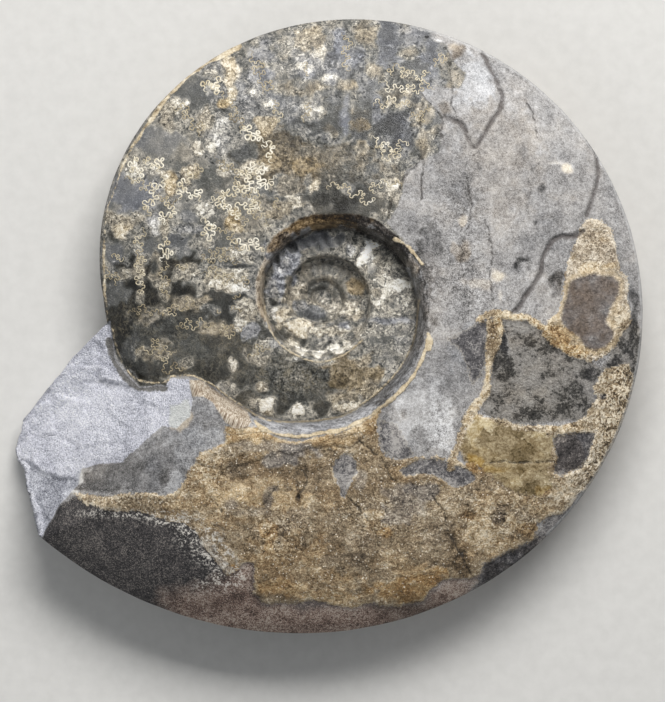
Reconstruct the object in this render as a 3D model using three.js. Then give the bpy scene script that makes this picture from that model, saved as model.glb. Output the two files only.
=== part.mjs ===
// A large compressed ammonite, preserved as one stone. It lies on its side: the plane of its coil is level,
// the worn underside is flat where it rests, and the body chamber ends in a rough break towards -X -Y.
// Millimetres, +Z up. The origin is under the middle of the outline, on the resting plane.
import * as THREE from 'three';

// Places along the coil are counted in turns: the last whorl's keel crosses -X at 0, and grew clockwise.
const STEPS_PER_TURN = 54;
const FIRST_TURN = -2.5;
const COLUMNS = 188;
const LAST_TURN = FIRST_TURN + COLUMNS / STEPS_PER_TURN;

// Keel of the last whorl: an even spiral, squeezed a little out of round when it was buried.
const KEEL_RADIUS = 71.1;
const KEEL_GROWTH = 0.6528;
const SQUEEZE = [[-0.0288, 0.0691], [0.0114, 0.0089]];
const INNER_KEEL_GROWTH = 0.6;

// Umbilical seam, where each whorl lies on the one before: its radius at each quarter turn from the first.
const SEAM_RADII = [2.9, 3.5, 4.3, 5.3, 6.2, 7.6, 10.2, 12.5, 14.6, 17.2, 18.3, 21.6, 30.0, 38.9, 48.0];

// Near the break the last flank is gone, and the seam runs out to the keel of the whorl before.
const SEAM_RUNS_OUT = [[0.87, 43.8], [0.905, 46.0], [0.916, 48.5], [0.925, 57.5], [0.931, 64.0]];

// The umbilical wall seen from above: its width as a share of the seam radius, and how far it rounds over.
const WALL_SHARE = 0.085;
const WALL_LEAST = 0.6;
const WALL_ROUNDING = 1.5;
const WALL_STEEPNESS = 2.4;

// The keel's level over the resting plane, at the start of the last whorl and its rise in a turn.
const KEEL_LEVEL = 18.5;
const KEEL_LEVEL_RISE = 3.3;

// Thickness at the umbilical shoulder, over or under the keel. The underside is worn flat where it rests.
const UPPER = { sign: 1, shoulder: 14.5, innerGrowth: 0.64, lateGrowth: 9.4, lateSlowing: 2.8 };
const UNDERSIDE = { sign: -1, shoulder: 20.0, innerGrowth: 0.8, lateGrowth: KEEL_LEVEL_RISE, lateSlowing: 0 };

// Outline of the broken end: x and y from the coil's centre, from the outer tip round to the inner keel.
const BREAK_OUTLINE = [
  [-90.4, -76.2], [-91.7, -71.0], [-94.9, -59.5], [-95.5, -55.4], [-98.1, -52.2], [-98.7, -48.6],
  [-95.8, -39.0], [-92.3, -34.6], [-88.2, -29.1], [-83.4, -23.7], [-74.1, -13.4],
];

// The break is two rough faces: one falls away from the intact flank, the other from the inner keel.
const FLANK_FACE = { through: [-90.4, -76.2], along: [0.753, 0.658], level: 21.5, rise: 0.29, fall: 0.8 };
const KEEL_FACE = { through: [-67.0, -9.6], along: [-0.709, 0.705], level: 18.5, rise: -0.06, fall: 0.3 };
const BREAK_FIRST_TURN = 0.86;
const BREAK_LEAST_LEVEL = 4;
const BREAK_UNDERCUT = 1.5;

// Rows across a whorl, as shares of the wall and then of the flank.
const WALL_ROWS = [0, 0.28, 0.62];
const FLANK_ROWS = [0, 0.16, 0.36, 0.58, 0.78, 0.92, 1];
const ROWS = WALL_ROWS.length + FLANK_ROWS.length - 1;
const MOST_WALL = 0.35;

const FULL_TURN = 2 * Math.PI;

// A smooth curve through values a quarter turn apart.
function throughQuarterTurns(values, turn) {
  const place = Math.min(Math.max((turn - FIRST_TURN) * 4, 0), values.length - 1.001);
  const index = Math.floor(place);
  const share = place - index;
  const from = values[index];
  const to = values[index + 1];
  const slopeFrom = (to - values[Math.max(index - 1, 0)]) / 2;
  const slopeTo = (values[Math.min(index + 2, values.length - 1)] - from) / 2;
  const cubic = 2 * (from - to) + slopeFrom + slopeTo;
  const square = 3 * (to - from) - 2 * slopeFrom - slopeTo;
  return from + share * (slopeFrom + share * (square + share * cubic));
}

// Straight stretches through [turn, value] pairs.
function throughPairs(pairs, turn) {
  const next = pairs.findIndex(([at]) => at >= turn);
  if (next < 1) {
    return next === 0 ? pairs[0][1] : pairs[pairs.length - 1][1];
  }
  const [fromTurn, from] = pairs[next - 1];
  const [toTurn, to] = pairs[next];
  return from + ((to - from) * (turn - fromTurn)) / (toTurn - fromTurn);
}

function angleAt(turn) {
  return Math.PI - FULL_TURN * turn;
}

function keelRadius(turn) {
  const along = Math.max(turn, 0);
  const squeeze = SQUEEZE.reduce((sum, [cosine, sine], order) => {
    const angle = FULL_TURN * along * (order + 1);
    return sum + cosine * Math.cos(angle) + sine * Math.sin(angle);
  }, 0);
  return KEEL_RADIUS * Math.exp(KEEL_GROWTH * along + INNER_KEEL_GROWTH * Math.min(turn, 0) + squeeze);
}

// The stone is whole where the seam meets the keel of the whorl before.
const MEETING = [LAST_TURN, keelRadius(LAST_TURN - 1)];

function seamRadius(turn) {
  if (turn > SEAM_RUNS_OUT[0][0]) {
    return throughPairs([...SEAM_RUNS_OUT, MEETING], turn);
  }
  return throughQuarterTurns(SEAM_RADII, turn);
}

// The edge of the stone: the keel as far as the outer tip, then the broken end.
function outlineRadius(turn) {
  const corners = BREAK_OUTLINE.map(([x, y]) => {
    const cornerTurn = 0.5 - Math.atan2(y, x) / FULL_TURN;
    return [cornerTurn, Math.hypot(x, y)];
  });
  if (turn < corners[0][0]) {
    return keelRadius(turn);
  }
  return throughPairs([...corners, MEETING], turn);
}

function keelLevel(turn) {
  return KEEL_LEVEL + KEEL_LEVEL_RISE * Math.max(turn, 0);
}

function shoulderHeight(side, turn) {
  const late = Math.max(turn, 0);
  const grown = side.shoulder + late * (side.lateGrowth - side.lateSlowing * late);
  return grown * Math.exp(side.innerGrowth * Math.min(turn, 0));
}

function wallWidth(turn) {
  return Math.max(WALL_SHARE * seamRadius(Math.min(turn, SEAM_RUNS_OUT[0][0])), WALL_LEAST);
}

// A flank's level without its umbilical wall: nearly flat at the shoulder, then steeper down to the keel.
function flankLevel(side, turn, radius) {
  const crest = seamRadius(Math.min(turn, SEAM_RUNS_OUT[0][0])) + wallWidth(turn);
  const share = Math.min(Math.max((radius - crest) / (keelRadius(turn) - crest), 0), 1);
  const fullness = 1 - 0.2 * share - 0.5 * share ** 2 - 0.3 * share ** 6;
  return keelLevel(turn) + side.sign * shoulderHeight(side, turn) * fullness;
}

// The seam lies on the flank of the whorl before.
function seamLevel(side, turn) {
  return flankLevel(side, turn - 1, seamRadius(turn));
}

// The level anywhere on a whorl: up the umbilical wall, round the shoulder and out over the flank.
function whorlLevel(side, turn, radius) {
  const climbed = Math.min((radius - seamRadius(turn)) / (wallWidth(turn) * WALL_ROUNDING), 1);
  const share = 1 - (1 - climbed) ** WALL_STEEPNESS;
  return THREE.MathUtils.lerp(seamLevel(side, turn), flankLevel(side, turn, radius), share);
}

function faceLevel(face, x, y) {
  const dx = x - face.through[0];
  const dy = y - face.through[1];
  const [alongX, alongY] = face.along;
  const away = alongX * dy - alongY * dx;
  return face.level + face.rise * (alongX * dx + alongY * dy) - face.fall * away;
}

function breakLevel(x, y) {
  return Math.max(faceLevel(FLANK_FACE, x, y), faceLevel(KEEL_FACE, x, y), BREAK_LEAST_LEVEL);
}

// A point of the stone's skin, in the coil's own frame: its axis stands on the origin.
function skinPoint(side, turn, radius) {
  const x = radius * Math.cos(angleAt(turn));
  const y = radius * Math.sin(angleAt(turn));
  let level = whorlLevel(side, turn, radius);
  if (turn > BREAK_FIRST_TURN) {
    const undercut = side === UNDERSIDE ? BREAK_UNDERCUT * (outlineRadius(turn) - radius) : 0;
    level = Math.min(level, breakLevel(x, y) - undercut);
  }
  return [x, y, Math.max(level, 0)];
}

function seamPoint(side, turn) {
  const radius = seamRadius(turn);
  const [x, y] = skinPoint(side, turn, radius);
  return [x, y, Math.max(seamLevel(side, turn), 0)];
}

// The skin of one side: a strip wound along the coil, whose outer edge is the next turn's seam, and past
// the last turn's start the outline of the stone, which both sides share.
function addSide(mesh, side, outlineIndex) {
  const turnOf = (column) => FIRST_TURN + column / STEPS_PER_TURN;
  const seam = [];
  for (let column = 0; column < COLUMNS; column += 1) {
    seam.push(mesh.addPoint(seamPoint(side, turnOf(column))));
  }
  seam.push(outlineIndex[0]);

  const edgeOf = (column) => (
    column + STEPS_PER_TURN <= COLUMNS
      ? seam[column + STEPS_PER_TURN]
      : outlineIndex[column + STEPS_PER_TURN - COLUMNS]
  );
  const columnIndex = (column) => {
    if (column === COLUMNS) {
      return new Array(ROWS + 1).fill(outlineIndex[0]);
    }
    const turn = turnOf(column);
    const inner = seamRadius(turn);
    const outer = column + STEPS_PER_TURN <= COLUMNS ? seamRadius(turn + 1) : outlineRadius(turn);
    const reach = Math.min(wallWidth(turn) * WALL_ROUNDING, MOST_WALL * (outer - inner));
    const radii = [
      ...WALL_ROWS.map((share) => inner + share * reach),
      ...FLANK_ROWS.map((share) => inner + reach + share * (outer - inner - reach)),
    ];
    const inside = radii.slice(1, ROWS).map((radius) => mesh.addPoint(skinPoint(side, turn, radius)));
    return [seam[column], ...inside, edgeOf(column)];
  };

  const first = columnIndex(0);
  let before = first;
  for (let column = 1; column <= COLUMNS; column += 1) {
    const after = columnIndex(column);
    for (let row = 0; row < ROWS; row += 1) {
      mesh.addFace(side, before[row], after[row], after[row + 1]);
      mesh.addFace(side, before[row], after[row + 1], before[row + 1]);
    }
    before = after;
  }
  addNucleus(mesh, side, [...seam.slice(0, STEPS_PER_TURN), ...[...first].reverse()]);
}

// The innermost whorls are one small boss, closed to a point a little off the axis.
function addNucleus(mesh, side, rim) {
  const offset = seamRadius(FIRST_TURN) / 2;
  const boss = mesh.addPoint([offset * 0.5, offset, flankLevel(side, FIRST_TURN, 0)]);
  for (let place = 0; place < rim.length - 1; place += 1) {
    mesh.addFace(side, rim[place + 1], rim[place], boss);
  }
}

// Collects points and faces; a face that has lost a corner to a shared point is left out.
class Skin {
  points = [];

  faces = [];

  addPoint(point) {
    this.points.push(...point);
    return this.points.length / 3 - 1;
  }

  addFace(side, a, b, c) {
    if (a !== b && b !== c && c !== a) {
      this.faces.push(...(side.sign > 0 ? [a, b, c] : [a, c, b]));
    }
  }
}

function ammoniteGeometry() {
  const skin = new Skin();
  const outline = [];
  for (let step = 0; step < STEPS_PER_TURN; step += 1) {
    const turn = LAST_TURN - 1 + step / STEPS_PER_TURN;
    const radius = outlineRadius(turn);
    const [x, y] = skinPoint(UPPER, turn, radius);
    const level = turn > BREAK_FIRST_TURN ? Math.min(keelLevel(turn), breakLevel(x, y)) : keelLevel(turn);
    outline.push(skin.addPoint([x, y, level]));
  }
  outline.push(outline[0]);
  addSide(skin, UPPER, outline);
  addSide(skin, UNDERSIDE, outline);

  const geometry = new THREE.BufferGeometry();
  geometry.setAttribute('position', new THREE.Float32BufferAttribute(skin.points, 3));
  geometry.setIndex(skin.faces);
  geometry.computeBoundingBox();
  const { min, max } = geometry.boundingBox;
  geometry.translate(-(min.x + max.x) / 2, -(min.y + max.y) / 2, 0);
  geometry.computeVertexNormals();
  return geometry;
}

const stone = new THREE.MeshStandardMaterial({ color: 0x6f6a60, roughness: 0.55, metalness: 0 });
const ammonite = new THREE.Mesh(ammoniteGeometry(), stone);
ammonite.name = 'ammonite';

const fossil = new THREE.Group();
fossil.add(ammonite);

export default fossil;
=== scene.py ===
import math

import bpy
import numpy as np
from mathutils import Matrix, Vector
from mathutils.bvhtree import BVHTree
from mathutils.geometry import delaunay_2d_cdt


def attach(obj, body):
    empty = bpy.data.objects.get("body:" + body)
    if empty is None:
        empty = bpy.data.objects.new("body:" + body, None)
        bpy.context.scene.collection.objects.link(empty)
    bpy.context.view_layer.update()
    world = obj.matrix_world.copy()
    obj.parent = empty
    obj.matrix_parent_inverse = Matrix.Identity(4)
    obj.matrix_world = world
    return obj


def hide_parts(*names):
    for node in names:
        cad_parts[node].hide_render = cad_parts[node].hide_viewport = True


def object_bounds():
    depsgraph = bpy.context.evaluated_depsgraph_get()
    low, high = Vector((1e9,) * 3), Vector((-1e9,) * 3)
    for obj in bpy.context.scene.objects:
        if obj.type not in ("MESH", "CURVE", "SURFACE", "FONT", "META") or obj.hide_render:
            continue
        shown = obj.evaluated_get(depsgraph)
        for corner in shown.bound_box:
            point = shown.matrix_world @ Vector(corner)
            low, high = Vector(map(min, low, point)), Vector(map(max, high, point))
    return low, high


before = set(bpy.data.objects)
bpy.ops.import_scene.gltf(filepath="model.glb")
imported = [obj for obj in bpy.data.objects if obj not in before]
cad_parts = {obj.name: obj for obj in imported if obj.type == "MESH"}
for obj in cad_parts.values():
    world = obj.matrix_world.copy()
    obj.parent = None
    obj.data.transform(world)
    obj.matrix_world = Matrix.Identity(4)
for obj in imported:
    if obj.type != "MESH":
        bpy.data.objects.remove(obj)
cad_low, cad_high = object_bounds()
scene = bpy.context.scene
scene.view_settings.view_transform = "Standard"


# ---------------------------------------------------------------------------------------------------
# The bench. The fossil lies on a plain pale floor. One wide soft light stands beyond its upper edge, a
# weaker one fills from the lower left, and the room gives an even light. The camera looks straight down.

MM = 0.001


def paint(red, green, blue, alpha=1.0):
    """A paint chart colour, 0 to 255 a channel, as the linear colour that a shader socket takes."""
    def linear(level):
        share = level / 255
        return share / 12.92 if share <= 0.04045 else ((share + 0.055) / 1.055) ** 2.4
    return (linear(red), linear(green), linear(blue), alpha)


class Signal:
    """One socket of a material's nodes. Sums on it add Math nodes, and add() makes any other node."""

    def __init__(self, tree, socket=None):
        self.tree = tree
        self.socket = socket

    def add(self, kind, settings=None, sockets=None, output=0):
        node = self.tree.nodes.new(kind)
        for name, setting in (settings or {}).items():
            if name == "stops":
                ends = node.color_ramp.elements
                for element, (position, color) in zip(ends, (setting[0], setting[-1])):
                    element.position = position
                    element.color = color
                for position, color in setting[1:-1]:
                    ends.new(position).color = color
            else:
                setattr(node, name, setting)
        for name, value in (sockets or {}).items():
            if isinstance(value, Signal):
                self.tree.links.new(value.socket, node.inputs[name])
            else:
                node.inputs[name].default_value = value
        return Signal(self.tree, node.outputs[output] if node.outputs else None)

    def math(self, operation, *values):
        return self.add("ShaderNodeMath", {"operation": operation}, dict(enumerate(values)))

    def __add__(self, other):
        return self.math("ADD", self, other)

    def __radd__(self, other):
        return self.math("ADD", other, self)

    def __sub__(self, other):
        return self.math("SUBTRACT", self, other)

    def __rsub__(self, other):
        return self.math("SUBTRACT", other, self)

    def __mul__(self, other):
        return self.math("MULTIPLY", self, other)

    def __rmul__(self, other):
        return self.math("MULTIPLY", other, self)

    def __truediv__(self, other):
        return self.math("DIVIDE", self, other)

    def __pow__(self, other):
        return self.math("POWER", self, other)

    def size(self):
        return self.math("ABSOLUTE", self)

    def limit(self):
        """Held between 0 and 1."""
        return self.add("ShaderNodeClamp", {}, {0: self, 1: 0.0, 2: 1.0})

    def edge(self, width):
        """From 0 outside to 1 inside, over a border of this width round zero."""
        return (self / width + 0.5).limit()

    def between(self, outside, inside):
        """One colour where this is 0 and the other where it is 1."""
        return self.add("ShaderNodeMix", {"data_type": "RGBA"}, {0: self, 6: outside, 7: inside}, output=2)

    def shaded(self, amount):
        """This colour, made lighter or darker all round by a number."""
        level = self.add("ShaderNodeCombineXYZ", {}, {0: amount, 1: amount, 2: amount})
        settings = {"data_type": "RGBA", "blend_type": "MULTIPLY"}
        return self.add("ShaderNodeMix", settings, {0: 1.0, 6: self, 7: level}, output=2)

    def ramp(self, *stops):
        """The colour at this level, between stops of (level, (red, green, blue)) on the paint chart."""
        painted = [(level, paint(*color)) for level, color in stops]
        return self.add("ShaderNodeValToRGB", {"stops": painted}, {0: self})

    def grain(self, size, detail=3.0, roughness=0.55, twist=0.0):
        """Cloudy noise round 0.5 at this place, with humps about `size` across."""
        sockets = {"Vector": self, "Scale": 1 / size, "Detail": detail, "Roughness": roughness,
                   "Distortion": twist}
        return self.add("ShaderNodeTexNoise", {}, sockets)

    def cells(self, size, output="Distance", feature="F1"):
        """Grains packed side by side at this place, about `size` across."""
        made = self.add("ShaderNodeTexVoronoi", {"feature": feature}, {"Vector": self, "Scale": 1 / size})
        return Signal(self.tree, made.socket.node.outputs[output])


def new_material(name):
    """A material and its cleared node tree, as a Signal to start from."""
    material = bpy.data.materials.new(name)
    material.use_nodes = True
    material.node_tree.nodes.clear()
    return material, Signal(material.node_tree)


def finish_material(start, color, roughness, height=None, coat=0.0, sockets=None):
    """Closes a material with its colour, its gloss and a height in millimetres for the bump."""
    values = {"Base Color": color, "Roughness": roughness, "Coat Weight": coat}
    values.update(sockets or {})
    if height is not None:
        bump = {"Strength": 1.0, "Distance": MM, "Height": height}
        values["Normal"] = start.add("ShaderNodeBump", {}, bump)
    shader = start.add("ShaderNodeBsdfPrincipled", {}, values)
    start.add("ShaderNodeOutputMaterial", {}, {"Surface": shader})


def add_mesh(name, points, faces, material):
    """A smooth-shaded mesh object from points in metres."""
    mesh = bpy.data.meshes.new(name)
    mesh.from_pydata(points, [], faces)
    mesh.materials.append(material)
    mesh.polygons.foreach_set("use_smooth", [True] * len(mesh.polygons))
    mesh.update()
    made = bpy.data.objects.new(name, mesh)
    scene.collection.objects.link(made)
    return made


FLOOR_HALF = 30.0
FLOOR_GRAIN = 0.004
CAMERA_PLACE = (0.0015, -0.0079, 1.892)
LENS = 300.0
ROOM_LIGHT = 0.24

floor_material, start = new_material("pale_floor")
place = start.add("ShaderNodeTexCoord", {}, {}, output="Object")
floor_color = place.grain(FLOOR_GRAIN, 2.0).ramp((0.3, (206, 205, 202)), (0.7, (212, 211, 208)))
finish_material(start, floor_color, roughness=0.85)
corners = [(-FLOOR_HALF, -FLOOR_HALF, 0), (FLOOR_HALF, -FLOOR_HALF, 0), (FLOOR_HALF, FLOOR_HALF, 0),
           (-FLOOR_HALF, FLOOR_HALF, 0)]
floor = add_mesh("floor", corners, [(0, 1, 2, 3)], floor_material)


def add_light(name, place, width, height, watts, color):
    """A soft rectangular light, turned to the fossil and not seen itself."""
    light = bpy.data.lights.new(name, "AREA")
    light.shape = "RECTANGLE"
    light.size = width
    light.size_y = height
    light.energy = watts
    light.color = color
    lamp = bpy.data.objects.new(name, light)
    lamp.location = place
    lamp.rotation_euler = (-Vector(place)).to_track_quat("-Z", "Y").to_euler()
    lamp.visible_camera = False
    scene.collection.objects.link(lamp)


add_light("upper_light", place=(0.22, 0.95, 1.0), width=1.1, height=0.6, watts=25.0,
          color=(1.0, 0.985, 0.965))
add_light("lower_light", place=(-0.9, -0.7, 0.9), width=0.8, height=0.8, watts=2.5,
          color=(0.94, 0.97, 1.0))

room = bpy.data.worlds.new("studio_room")
room.use_nodes = True
background = room.node_tree.nodes["Background"]
background.inputs["Color"].default_value = (0.95, 0.975, 1.0, 1)
background.inputs["Strength"].default_value = ROOM_LIGHT
scene.world = room

camera_data = bpy.data.cameras.new("camera")
camera_data.lens = LENS
camera_data.clip_start = 0.05
camera_data.clip_end = 100
camera = bpy.data.objects.new("camera", camera_data)
camera.location = CAMERA_PLACE
scene.collection.objects.link(camera)
scene.camera = camera


# ---------------------------------------------------------------------------------------------------
# The fossil. One stone: a compressed shell with its chambers full of calcite on the left and top, grey mud
# rock in the last half whorl, patches of brown crystalline shell on it, and a fresh break at its end.
# Nothing is fixed: all of it grew or was cemented together, and one flank was cleaned and polished.

# The coil, in millimetres from its own axis. Places along it are counted in turns: the last whorl's keel
# crosses -X at 0, and grew clockwise.
FIRST_TURN = -2.5
STEPS_PER_TURN = 54
COIL_STEPS = 188
LAST_TURN = FIRST_TURN + COIL_STEPS / STEPS_PER_TURN
FULL_TURN = 2 * math.pi

KEEL_RADIUS = 71.1
KEEL_GROWTH = 0.6528
SQUEEZE = ((-0.0288, 0.0691), (0.0114, 0.0089))
INNER_KEEL_GROWTH = 0.6
SEAM_RADII_PER_TURN = 4
SEAM_RADII = np.array([2.9, 3.5, 4.3, 5.3, 6.2, 7.6, 10.2, 12.5, 14.6, 17.2, 18.3, 21.6, 30.0, 38.9, 48.0])
SEAM_RUNS_OUT = [(0.87, 43.8), (0.905, 46.0), (0.916, 48.5), (0.925, 57.5), (0.931, 64.0)]
WALL_SHARE = 0.085
WALL_LEAST = 0.6
WALL_ROUNDING = 1.5
WALL_STEEPNESS = 2.4
INNER_ROUNDING = 2.5
INNER_ROUNDING_ENDS = (-1.3, -0.9)
KEEL_LEVEL = 18.5
KEEL_LEVEL_RISE = 3.3
UPPER = {"sign": 1, "shoulder": 14.5, "inner_growth": 0.64, "late_growth": 9.4, "late_slowing": 2.8}
UNDERSIDE = {"sign": -1, "shoulder": 20.0, "inner_growth": 0.8, "late_growth": KEEL_LEVEL_RISE,
             "late_slowing": 0.0}

# The broken end: its outline, and two rough faces, one below the last flank and one below the older keel.
BREAK_OUTLINE = [
    (-90.4, -76.2), (-91.7, -71.0), (-94.9, -59.5), (-95.5, -55.4), (-98.1, -52.2), (-98.7, -48.6),
    (-95.8, -39.0), (-92.3, -34.6), (-88.2, -29.1), (-83.4, -23.7), (-74.1, -13.4),
]
FLANK_FACE = {"through": (-90.4, -76.2), "along": (0.753, 0.658), "level": 21.5, "rise": 0.29, "fall": 0.8}
KEEL_FACE = {"through": (-67.0, -9.6), "along": (-0.709, 0.705), "level": 18.5, "rise": -0.06, "fall": 0.3}
BREAK_FIRST_TURN = 0.86
BREAK_LEAST_LEVEL = 4.0
BREAK_UNDERCUT = 1.5


def keel_radius(turn):
    late = np.maximum(turn, 0)
    squeeze = 0
    for order, (cosine, sine) in enumerate(SQUEEZE, start=1):
        angle = FULL_TURN * late * order
        squeeze = squeeze + cosine * np.cos(angle) + sine * np.sin(angle)
    return KEEL_RADIUS * np.exp(KEEL_GROWTH * late + INNER_KEEL_GROWTH * np.minimum(turn, 0) + squeeze)


MEETING = (LAST_TURN, float(keel_radius(np.array(LAST_TURN - 1))))


def seam_radius(turn):
    """Where a whorl meets the one before it: a smooth curve, which runs out to the keel near the break."""
    place = np.clip((turn - FIRST_TURN) * SEAM_RADII_PER_TURN, 0, len(SEAM_RADII) - 1.001)
    index = np.floor(place).astype(int)
    share = place - index
    before, at = SEAM_RADII[np.maximum(index - 1, 0)], SEAM_RADII[index]
    after, beyond = SEAM_RADII[index + 1], SEAM_RADII[np.minimum(index + 2, len(SEAM_RADII) - 1)]
    slope_at, slope_after = (after - before) / 2, (beyond - at) / 2
    cubic = 2 * (at - after) + slope_at + slope_after
    square = 3 * (after - at) - 2 * slope_at - slope_after
    smooth = at + share * (slope_at + share * (square + share * cubic))
    turns, radii = zip(*SEAM_RUNS_OUT, MEETING)
    return np.where(turn > turns[0], np.interp(turn, turns, radii), smooth)


def break_radius():
    """The broken end's outline as turns and radii, for a straight run between its corners."""
    corners = [(0.5 - math.atan2(y, x) / FULL_TURN, math.hypot(x, y)) for x, y in BREAK_OUTLINE]
    return zip(*corners, MEETING)


BREAK_TURNS, BREAK_RADII = break_radius()


def outline_radius(turn):
    return np.where(turn < BREAK_TURNS[0], keel_radius(turn), np.interp(turn, BREAK_TURNS, BREAK_RADII))


def keel_level(turn):
    return KEEL_LEVEL + KEEL_LEVEL_RISE * np.maximum(turn, 0)


def inner_radius(turn):
    """The seam's radius, held at its last full value where the seam runs out to the keel."""
    return seam_radius(np.minimum(turn, SEAM_RUNS_OUT[0][0]))


def wall_width(turn):
    return np.maximum(WALL_SHARE * inner_radius(turn), WALL_LEAST)


def crest_radius(turn):
    """The top of the umbilical wall."""
    return inner_radius(turn) + wall_width(turn)


def flank_level(side, turn, radius):
    """A flank without its umbilical wall: nearly flat at the shoulder, then steeper down to the keel."""
    crest = crest_radius(turn)
    share = np.clip((radius - crest) / (keel_radius(turn) - crest), 0, 1)
    fullness = 1 - 0.2 * share - 0.5 * share ** 2 - 0.3 * share ** 6
    late = np.maximum(turn, 0)
    grown = side["shoulder"] + late * (side["late_growth"] - side["late_slowing"] * late)
    height = grown * np.exp(side["inner_growth"] * np.minimum(turn, 0))
    return keel_level(turn) + side["sign"] * height * fullness


def face_level(face, x, y):
    dx, dy = x - face["through"][0], y - face["through"][1]
    along_x, along_y = face["along"]
    away = along_x * dy - along_y * dx
    return face["level"] + face["rise"] * (along_x * dx + along_y * dy) - face["fall"] * away


def break_level(x, y):
    highest = np.maximum(face_level(FLANK_FACE, x, y), face_level(KEEL_FACE, x, y))
    return np.maximum(highest, BREAK_LEAST_LEVEL)


def phase_of(x, y):
    return (0.5 - np.arctan2(y, x) / FULL_TURN) % 1


def edge_turn(phase):
    """The turn of the outermost whorl, which the outline follows."""
    return np.where(phase > LAST_TURN, phase - 1, phase)


def whorl_at(x, y):
    """Turn of the whorl that shows at each place."""
    radius, phase = np.hypot(x, y), phase_of(x, y)
    turn = np.full(x.shape, FIRST_TURN)
    for whorl in (-3, -2, -1, 0):
        here = phase + whorl
        covers = (here >= FIRST_TURN) & (here <= LAST_TURN) & (radius >= seam_radius(here))
        turn = np.where(covers, here, turn)
    return turn


def skin_level(side, x, y):
    """The smooth stone's level at each place, for one side."""
    radius, turn = np.hypot(x, y), whorl_at(x, y)
    rounding = WALL_ROUNDING + INNER_ROUNDING * (1 - eased(turn, *INNER_ROUNDING_ENDS))
    climbed = np.clip((radius - seam_radius(turn)) / (wall_width(turn) * rounding), 0, 1)
    share = 1 - (1 - climbed) ** WALL_STEEPNESS
    foot = flank_level(side, turn - 1, seam_radius(turn))
    level = foot + (flank_level(side, turn, radius) - foot) * share
    undercut = BREAK_UNDERCUT * (outline_radius(turn) - radius) if side is UNDERSIDE else 0
    broken = np.minimum(level, break_level(x, y) - undercut)
    return np.maximum(np.where(turn > BREAK_FIRST_TURN, broken, level), 0)


# Tools for the surface's relief and for the borders of its patches.

def humps(x, y, size, seed):
    """Even noise from -1 to 1, with humps about `size` mm apart."""
    knots = np.random.default_rng(seed).random((256, 256)) * 2 - 1
    across, up = x / size + 37.3, y / size + 91.7
    column, row = np.floor(across).astype(int), np.floor(up).astype(int)
    u, v = across - column, up - row
    u, v = u * u * (3 - 2 * u), v * v * (3 - 2 * v)
    left, right, low, high = column & 255, (column + 1) & 255, row & 255, (row + 1) & 255
    bottom = knots[left, low] * (1 - u) + knots[right, low] * u
    top = knots[left, high] * (1 - u) + knots[right, high] * u
    return bottom * (1 - v) + top * v


def clouds(x, y, size, seed, layers=3):
    """Layered noise: each layer is half as large and half as strong as the one before."""
    total = 0
    for layer in range(layers):
        total = total + humps(x, y, size / 2 ** layer, seed + layer) / 2 ** layer
    return total / (2 - 2 ** (1 - layers))


def facets(x, y, size, seed, tilt, step):
    """A hackly break: flat facets about `size` mm across, each tilted and set a little up or down."""
    draw = np.random.default_rng(seed)
    shift_x, shift_y, lean_x, lean_y, lift = draw.random((5, 64, 64)) * 2 - 1
    column, row = np.floor(x / size).astype(int), np.floor(y / size).astype(int)
    nearest, level = np.full(x.shape, np.inf), np.zeros(x.shape)
    for i in (-1, 0, 1):
        for j in (-1, 0, 1):
            at = (column + i) & 63, (row + j) & 63
            dx = x - (column + i + 0.5 + 0.42 * shift_x[at]) * size
            dy = y - (row + j + 0.5 + 0.42 * shift_y[at]) * size
            apart = dx * dx + dy * dy
            plane = tilt * (lean_x[at] * dx + lean_y[at] * dy) + step * lift[at]
            level = np.where(apart < nearest, plane, level)
            nearest = np.minimum(nearest, apart)
    return level


def from_line(line, x, y):
    """Distance to a line through these points."""
    nearest = np.full(x.shape, np.inf)
    for (ax, ay), (bx, by) in zip(line, line[1:]):
        run_x, run_y = bx - ax, by - ay
        share = np.clip(((x - ax) * run_x + (y - ay) * run_y) / (run_x ** 2 + run_y ** 2), 0, 1)
        nearest = np.minimum(nearest, np.hypot(x - ax - share * run_x, y - ay - share * run_y))
    return nearest


def within(outline, x, y):
    """How far inside an outline each place is, in mm: below zero outside."""
    inside = np.zeros(x.shape, bool)
    for (ax, ay), (bx, by) in zip(outline, outline[1:] + outline[:1]):
        if ay != by:
            inside ^= ((ay > y) != (by > y)) & (x < (bx - ax) * (y - ay) / (by - ay) + ax)
    apart = from_line(outline + outline[:1], x, y)
    return np.where(inside, apart, -apart)


def tinged(spots, x, y):
    """Soft spots (x, y, half width, half height, strength), added up."""
    total = np.zeros(x.shape)
    for at_x, at_y, wide, high, strength in spots:
        total += strength * np.exp(-((x - at_x) / wide) ** 2 - ((y - at_y) / high) ** 2)
    return total


def toned(spots, x, y):
    """Tone and warmth of overlapping spots with soft borders."""
    tone, warmth = np.zeros(x.shape), np.zeros(x.shape)
    bitten = 0.55 * clouds(x, y, 3.4, 14, 2) + 0.3 * clouds(x, y, 1.8, 16, 1)
    for at_x, at_y, wide, high, spot_tone, spot_warmth in spots:
        border = min(max(0.3, 1.0 / min(wide, high)), 1.2)
        share = np.hypot((x - at_x) / wide, (y - at_y) / high) + bitten * (0.35 if min(wide, high) < 1 else 1)
        cover = eased(1 + border / 2 - share, 0, border)
        tone += (spot_tone - tone) * cover
        warmth += (spot_warmth - warmth) * cover
    return tone, warmth


def rounded(line):
    """A line with its corners cut twice, so that it runs smoothly."""
    corners = np.array(line, float)
    for _ in range(2):
        near, far = corners[:-1] * 0.75 + corners[1:] * 0.25, corners[:-1] * 0.25 + corners[1:] * 0.75
        corners = np.concatenate([corners[:1], np.stack([near, far], axis=1).reshape(-1, 2), corners[-1:]])
    return corners


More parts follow.
